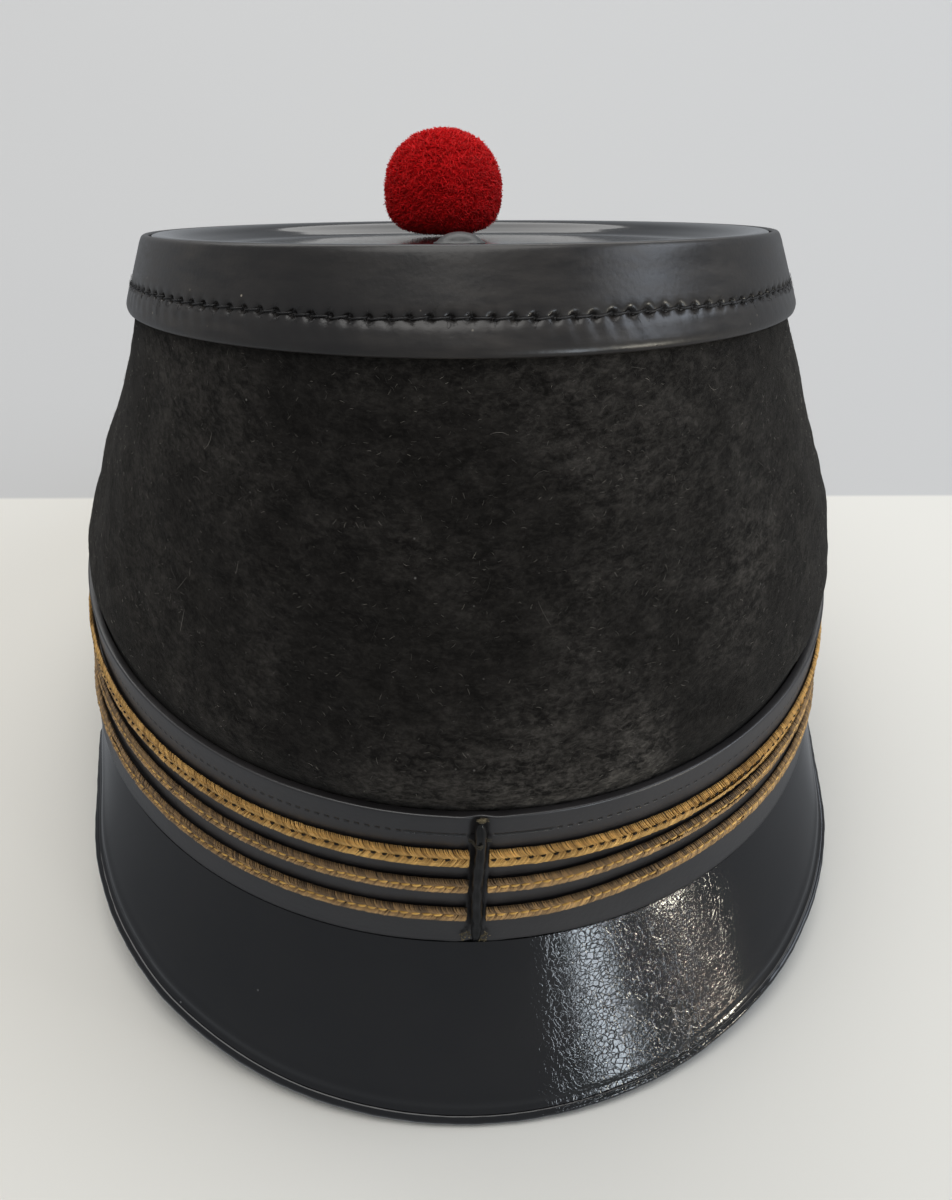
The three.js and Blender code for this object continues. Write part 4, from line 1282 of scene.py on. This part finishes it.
bandColour = blend(tree, grain.outputs["Broad"], (0.0125, 0.0115, 0.012), (0.03, 0.0272, 0.0275))
paint(tree, shader, dotMask, bandColour, (0.002, 0.002, 0.002))
roughen(tree, shader, grain.outputs["Broad"], 0.3, 0.43)
bandHeights = maths(tree, "SUBTRACT", times(tree, grain.outputs["Height"], 0.12), dotMask)
bump(tree, shader, bandHeights, 0.0003, 0.7)


def goldThread(name, dull, bright, roughness):
    material, tree, shader = finish(name, bright, roughness, {"Metallic": 0.12})
    tone = pieceTone(tree)
    where = objectPlace(tree)
    soil = noise(tree, where, 150.0, 4.0, Roughness=0.65)
    fine = noise(tree, where, 2600.0, 2.0)
    mix = plus(tree, times(tree, tone, 0.75), times(tree, spread(tree, soil, 0.35, 0.65), 0.3))
    paint(tree, shader, mix, dull, bright)
    bump(tree, shader, fine, 0.00012, 0.7)
    return material


brightGold = goldThread("brightGoldThread", (0.24, 0.115, 0.024), (0.98, 0.6, 0.19), 0.45)
dullGold = goldThread("dullGoldThread", (0.13, 0.085, 0.05), (0.74, 0.45, 0.18), 0.5)
goldDash = goldThread("goldStitchThread", (0.5, 0.28, 0.06), (0.95, 0.58, 0.16), 0.42)
coreMaterial = goldThread("braidCore", (0.04, 0.022, 0.008), (0.12, 0.07, 0.025), 0.7)
darkStitch = goldThread("darkStitchThread", (0.006, 0.004, 0.002), (0.03, 0.018, 0.008), 0.8)

keeperMaterial, tree, shader = finish("keeperLeather", (0.005, 0.005, 0.005), 0.4, {
    "Specular IOR Level": 0.15, "Coat Weight": 0.4, "Coat Roughness": 0.1})
where = objectPlace(tree)
grain = place(tree, leatherGrain, where, Scale=900.0)
paint(tree, shader, grain.outputs["Broad"], (0.003, 0.003, 0.003), (0.009, 0.008, 0.007))
bump(tree, shader, grain.outputs["Height"], 0.0001, 0.5)

keeperThreadMaterial, tree, shader = finish("keeperThread", (0.1, 0.08, 0.04), 0.85, {})
tone = pieceTone(tree)
paint(tree, shader, tone, (0.006, 0.006, 0.005), (0.2, 0.16, 0.09))

woolMaterial, tree, shader = finish("redWool", (0.42, 0.01, 0.014), 0.95, {
    "Sheen Weight": 0.35, "Sheen Roughness": 0.5, "Sheen Tint": (1.0, 0.2, 0.18, 1),
    "Specular IOR Level": 0.15})
tone = pieceTone(tree)
woolCloud = noise(tree, objectPlace(tree), 160.0, 4.0)
mix = plus(tree, times(tree, tone, 0.6), times(tree, woolCloud, 0.4))
paint(tree, shader, mix, (0.36, 0.0015, 0.003), (0.88, 0.008, 0.012))


def dress(piece, material):
    piece.data.materials.clear()
    piece.data.materials.append(material)


for piece, material in (
        (feltCrown, feltMaterial), (feltFibres, fibreMaterial), (leatherSkirt, skirtMaterial),
        (skirtStitches, stitchMaterial), (skirtHairs, stitchMaterial), (glossyTop, patentMaterial),
        (button, buttonMaterial), (leatherBand, bandMaterial), (seamKeeper, keeperMaterial),
        (keeperThreads, keeperThreadMaterial), (peakLeather, patentMaterial), (peakBinding, patentMaterial),
        (woolHead, woolMaterial), (pile, woolMaterial)):
    dress(piece, material)
for ribbon, weave, stitches in (upperBraid, middleBraid, lowerBraid):
    dress(ribbon, coreMaterial)
    dress(weave, brightGold if ribbon is upperBraid[0] else dullGold)
    dress(stitches, darkStitch if ribbon is upperBraid[0] else goldDash)
print("finishes laid")

# surroundings: a pale floor in two plain tones, soft light and the camera
studio = {
    "floorSize": 6.0,
    "nearTone": (0.74, 0.722, 0.672),
    "farTone": (0.528, 0.526, 0.522),
    "divide": 0.088,
    "hatMiddle": (0, -0.06, 0.03),
    "cameraAt": (-0.020719, -0.258637, 0.285102),
    "lookAlong": (0.071322, 0.724745, -0.685316),
    "upward": (0.027126, 0.685402, 0.727659),
    "lens": 45.08,
}
deselectAll()
bpy.ops.mesh.primitive_plane_add(size=studio["floorSize"], location=(0, 0, 0))
floor = bpy.context.active_object
floor.name = "floor"
floorMaterial, tree, shader = finish("floorTone", studio["nearTone"], 0.75, {})
fx, fy, _ = objectAxes(tree, objectPlace(tree))
line = plus(tree, fy, times(tree, fx, 0.03))
far = spread(tree, line, studio["divide"] - 0.0006, studio["divide"] + 0.0006)
paint(tree, shader, far, studio["nearTone"], studio["farTone"])
dress(floor, floorMaterial)
# the gloss mirrors the windows and the room, and not the pale floor
floor.visible_glossy = False

world = bpy.data.worlds.new("studio")
bpy.context.scene.world = world
world.use_nodes = True
world.node_tree.nodes["Background"].inputs["Color"].default_value = (0.86, 0.9, 0.95, 1)
world.node_tree.nodes["Background"].inputs["Strength"].default_value = 0.34
bpy.context.scene.view_settings.view_transform = "Standard"


def softLight(name, at, target, width, height, power, colour):
    light = bpy.data.lights.new(name, "AREA")
    light.shape = "RECTANGLE"
    light.size, light.size_y = width, height
    light.energy = power
    light.color = colour
    lamp = bpy.data.objects.new(name, light)
    bpy.context.collection.objects.link(lamp)
    lamp.location = at
    lamp.rotation_euler = (Vector(target) - Vector(at)).to_track_quat("-Z", "Y").to_euler()


def lightFrom(name, turn, rise, distance, width, height, power, colour):
    # a light seen from the hat at a turn about the vertical and an angle over the floor
    turn, rise = math.radians(turn), math.radians(rise)
    x, y, z = studio["hatMiddle"]
    level = distance * math.cos(rise)
    at = (level * math.cos(turn) + x, level * math.sin(turn) + y, distance * math.sin(rise) + z)
    softLight(name, at, studio["hatMiddle"], width, height, power, colour)


lightFrom("windowLight", -56, 0, 1.3, 0.22, 0.62, 5.0, (0.82, 0.91, 1.0))
lightFrom("warmWindow", -30, 2, 1.3, 0.12, 0.16, 3.8, (1.0, 0.95, 0.8))
lightFrom("lowLamp", -30, -14, 1.3, 0.2, 0.1, 0.6, (1.0, 0.8, 0.62))
lightFrom("sideWindow", 6, 36, 1.5, 1.0, 0.5, 6.0, (0.8, 0.88, 1.0))
softLight("farPanel", (-0.15, 1.5, 1.0), (0, 0, 0.15), 2.8, 0.85, 13.5, (1.0, 0.99, 0.97))
softLight("overheadLight", (-0.15, 0.12, 1.75), (0, 0, 0), 1.9, 1.4, 20, (1.0, 0.985, 0.96))

cameraData = bpy.data.cameras.new("camera")
cameraData.lens = studio["lens"]
cameraData.sensor_width = 36
cameraData.clip_start = 0.01
camera = bpy.data.objects.new("camera", cameraData)
bpy.context.collection.objects.link(camera)
lookAlong, upward = Vector(studio["lookAlong"]), Vector(studio["upward"])
sideways = lookAlong.cross(upward)
camera.location = studio["cameraAt"]
camera.rotation_euler = Matrix((sideways, upward, -lookAlong)).transposed().to_euler()
bpy.context.scene.camera = camera

print("scene ready")
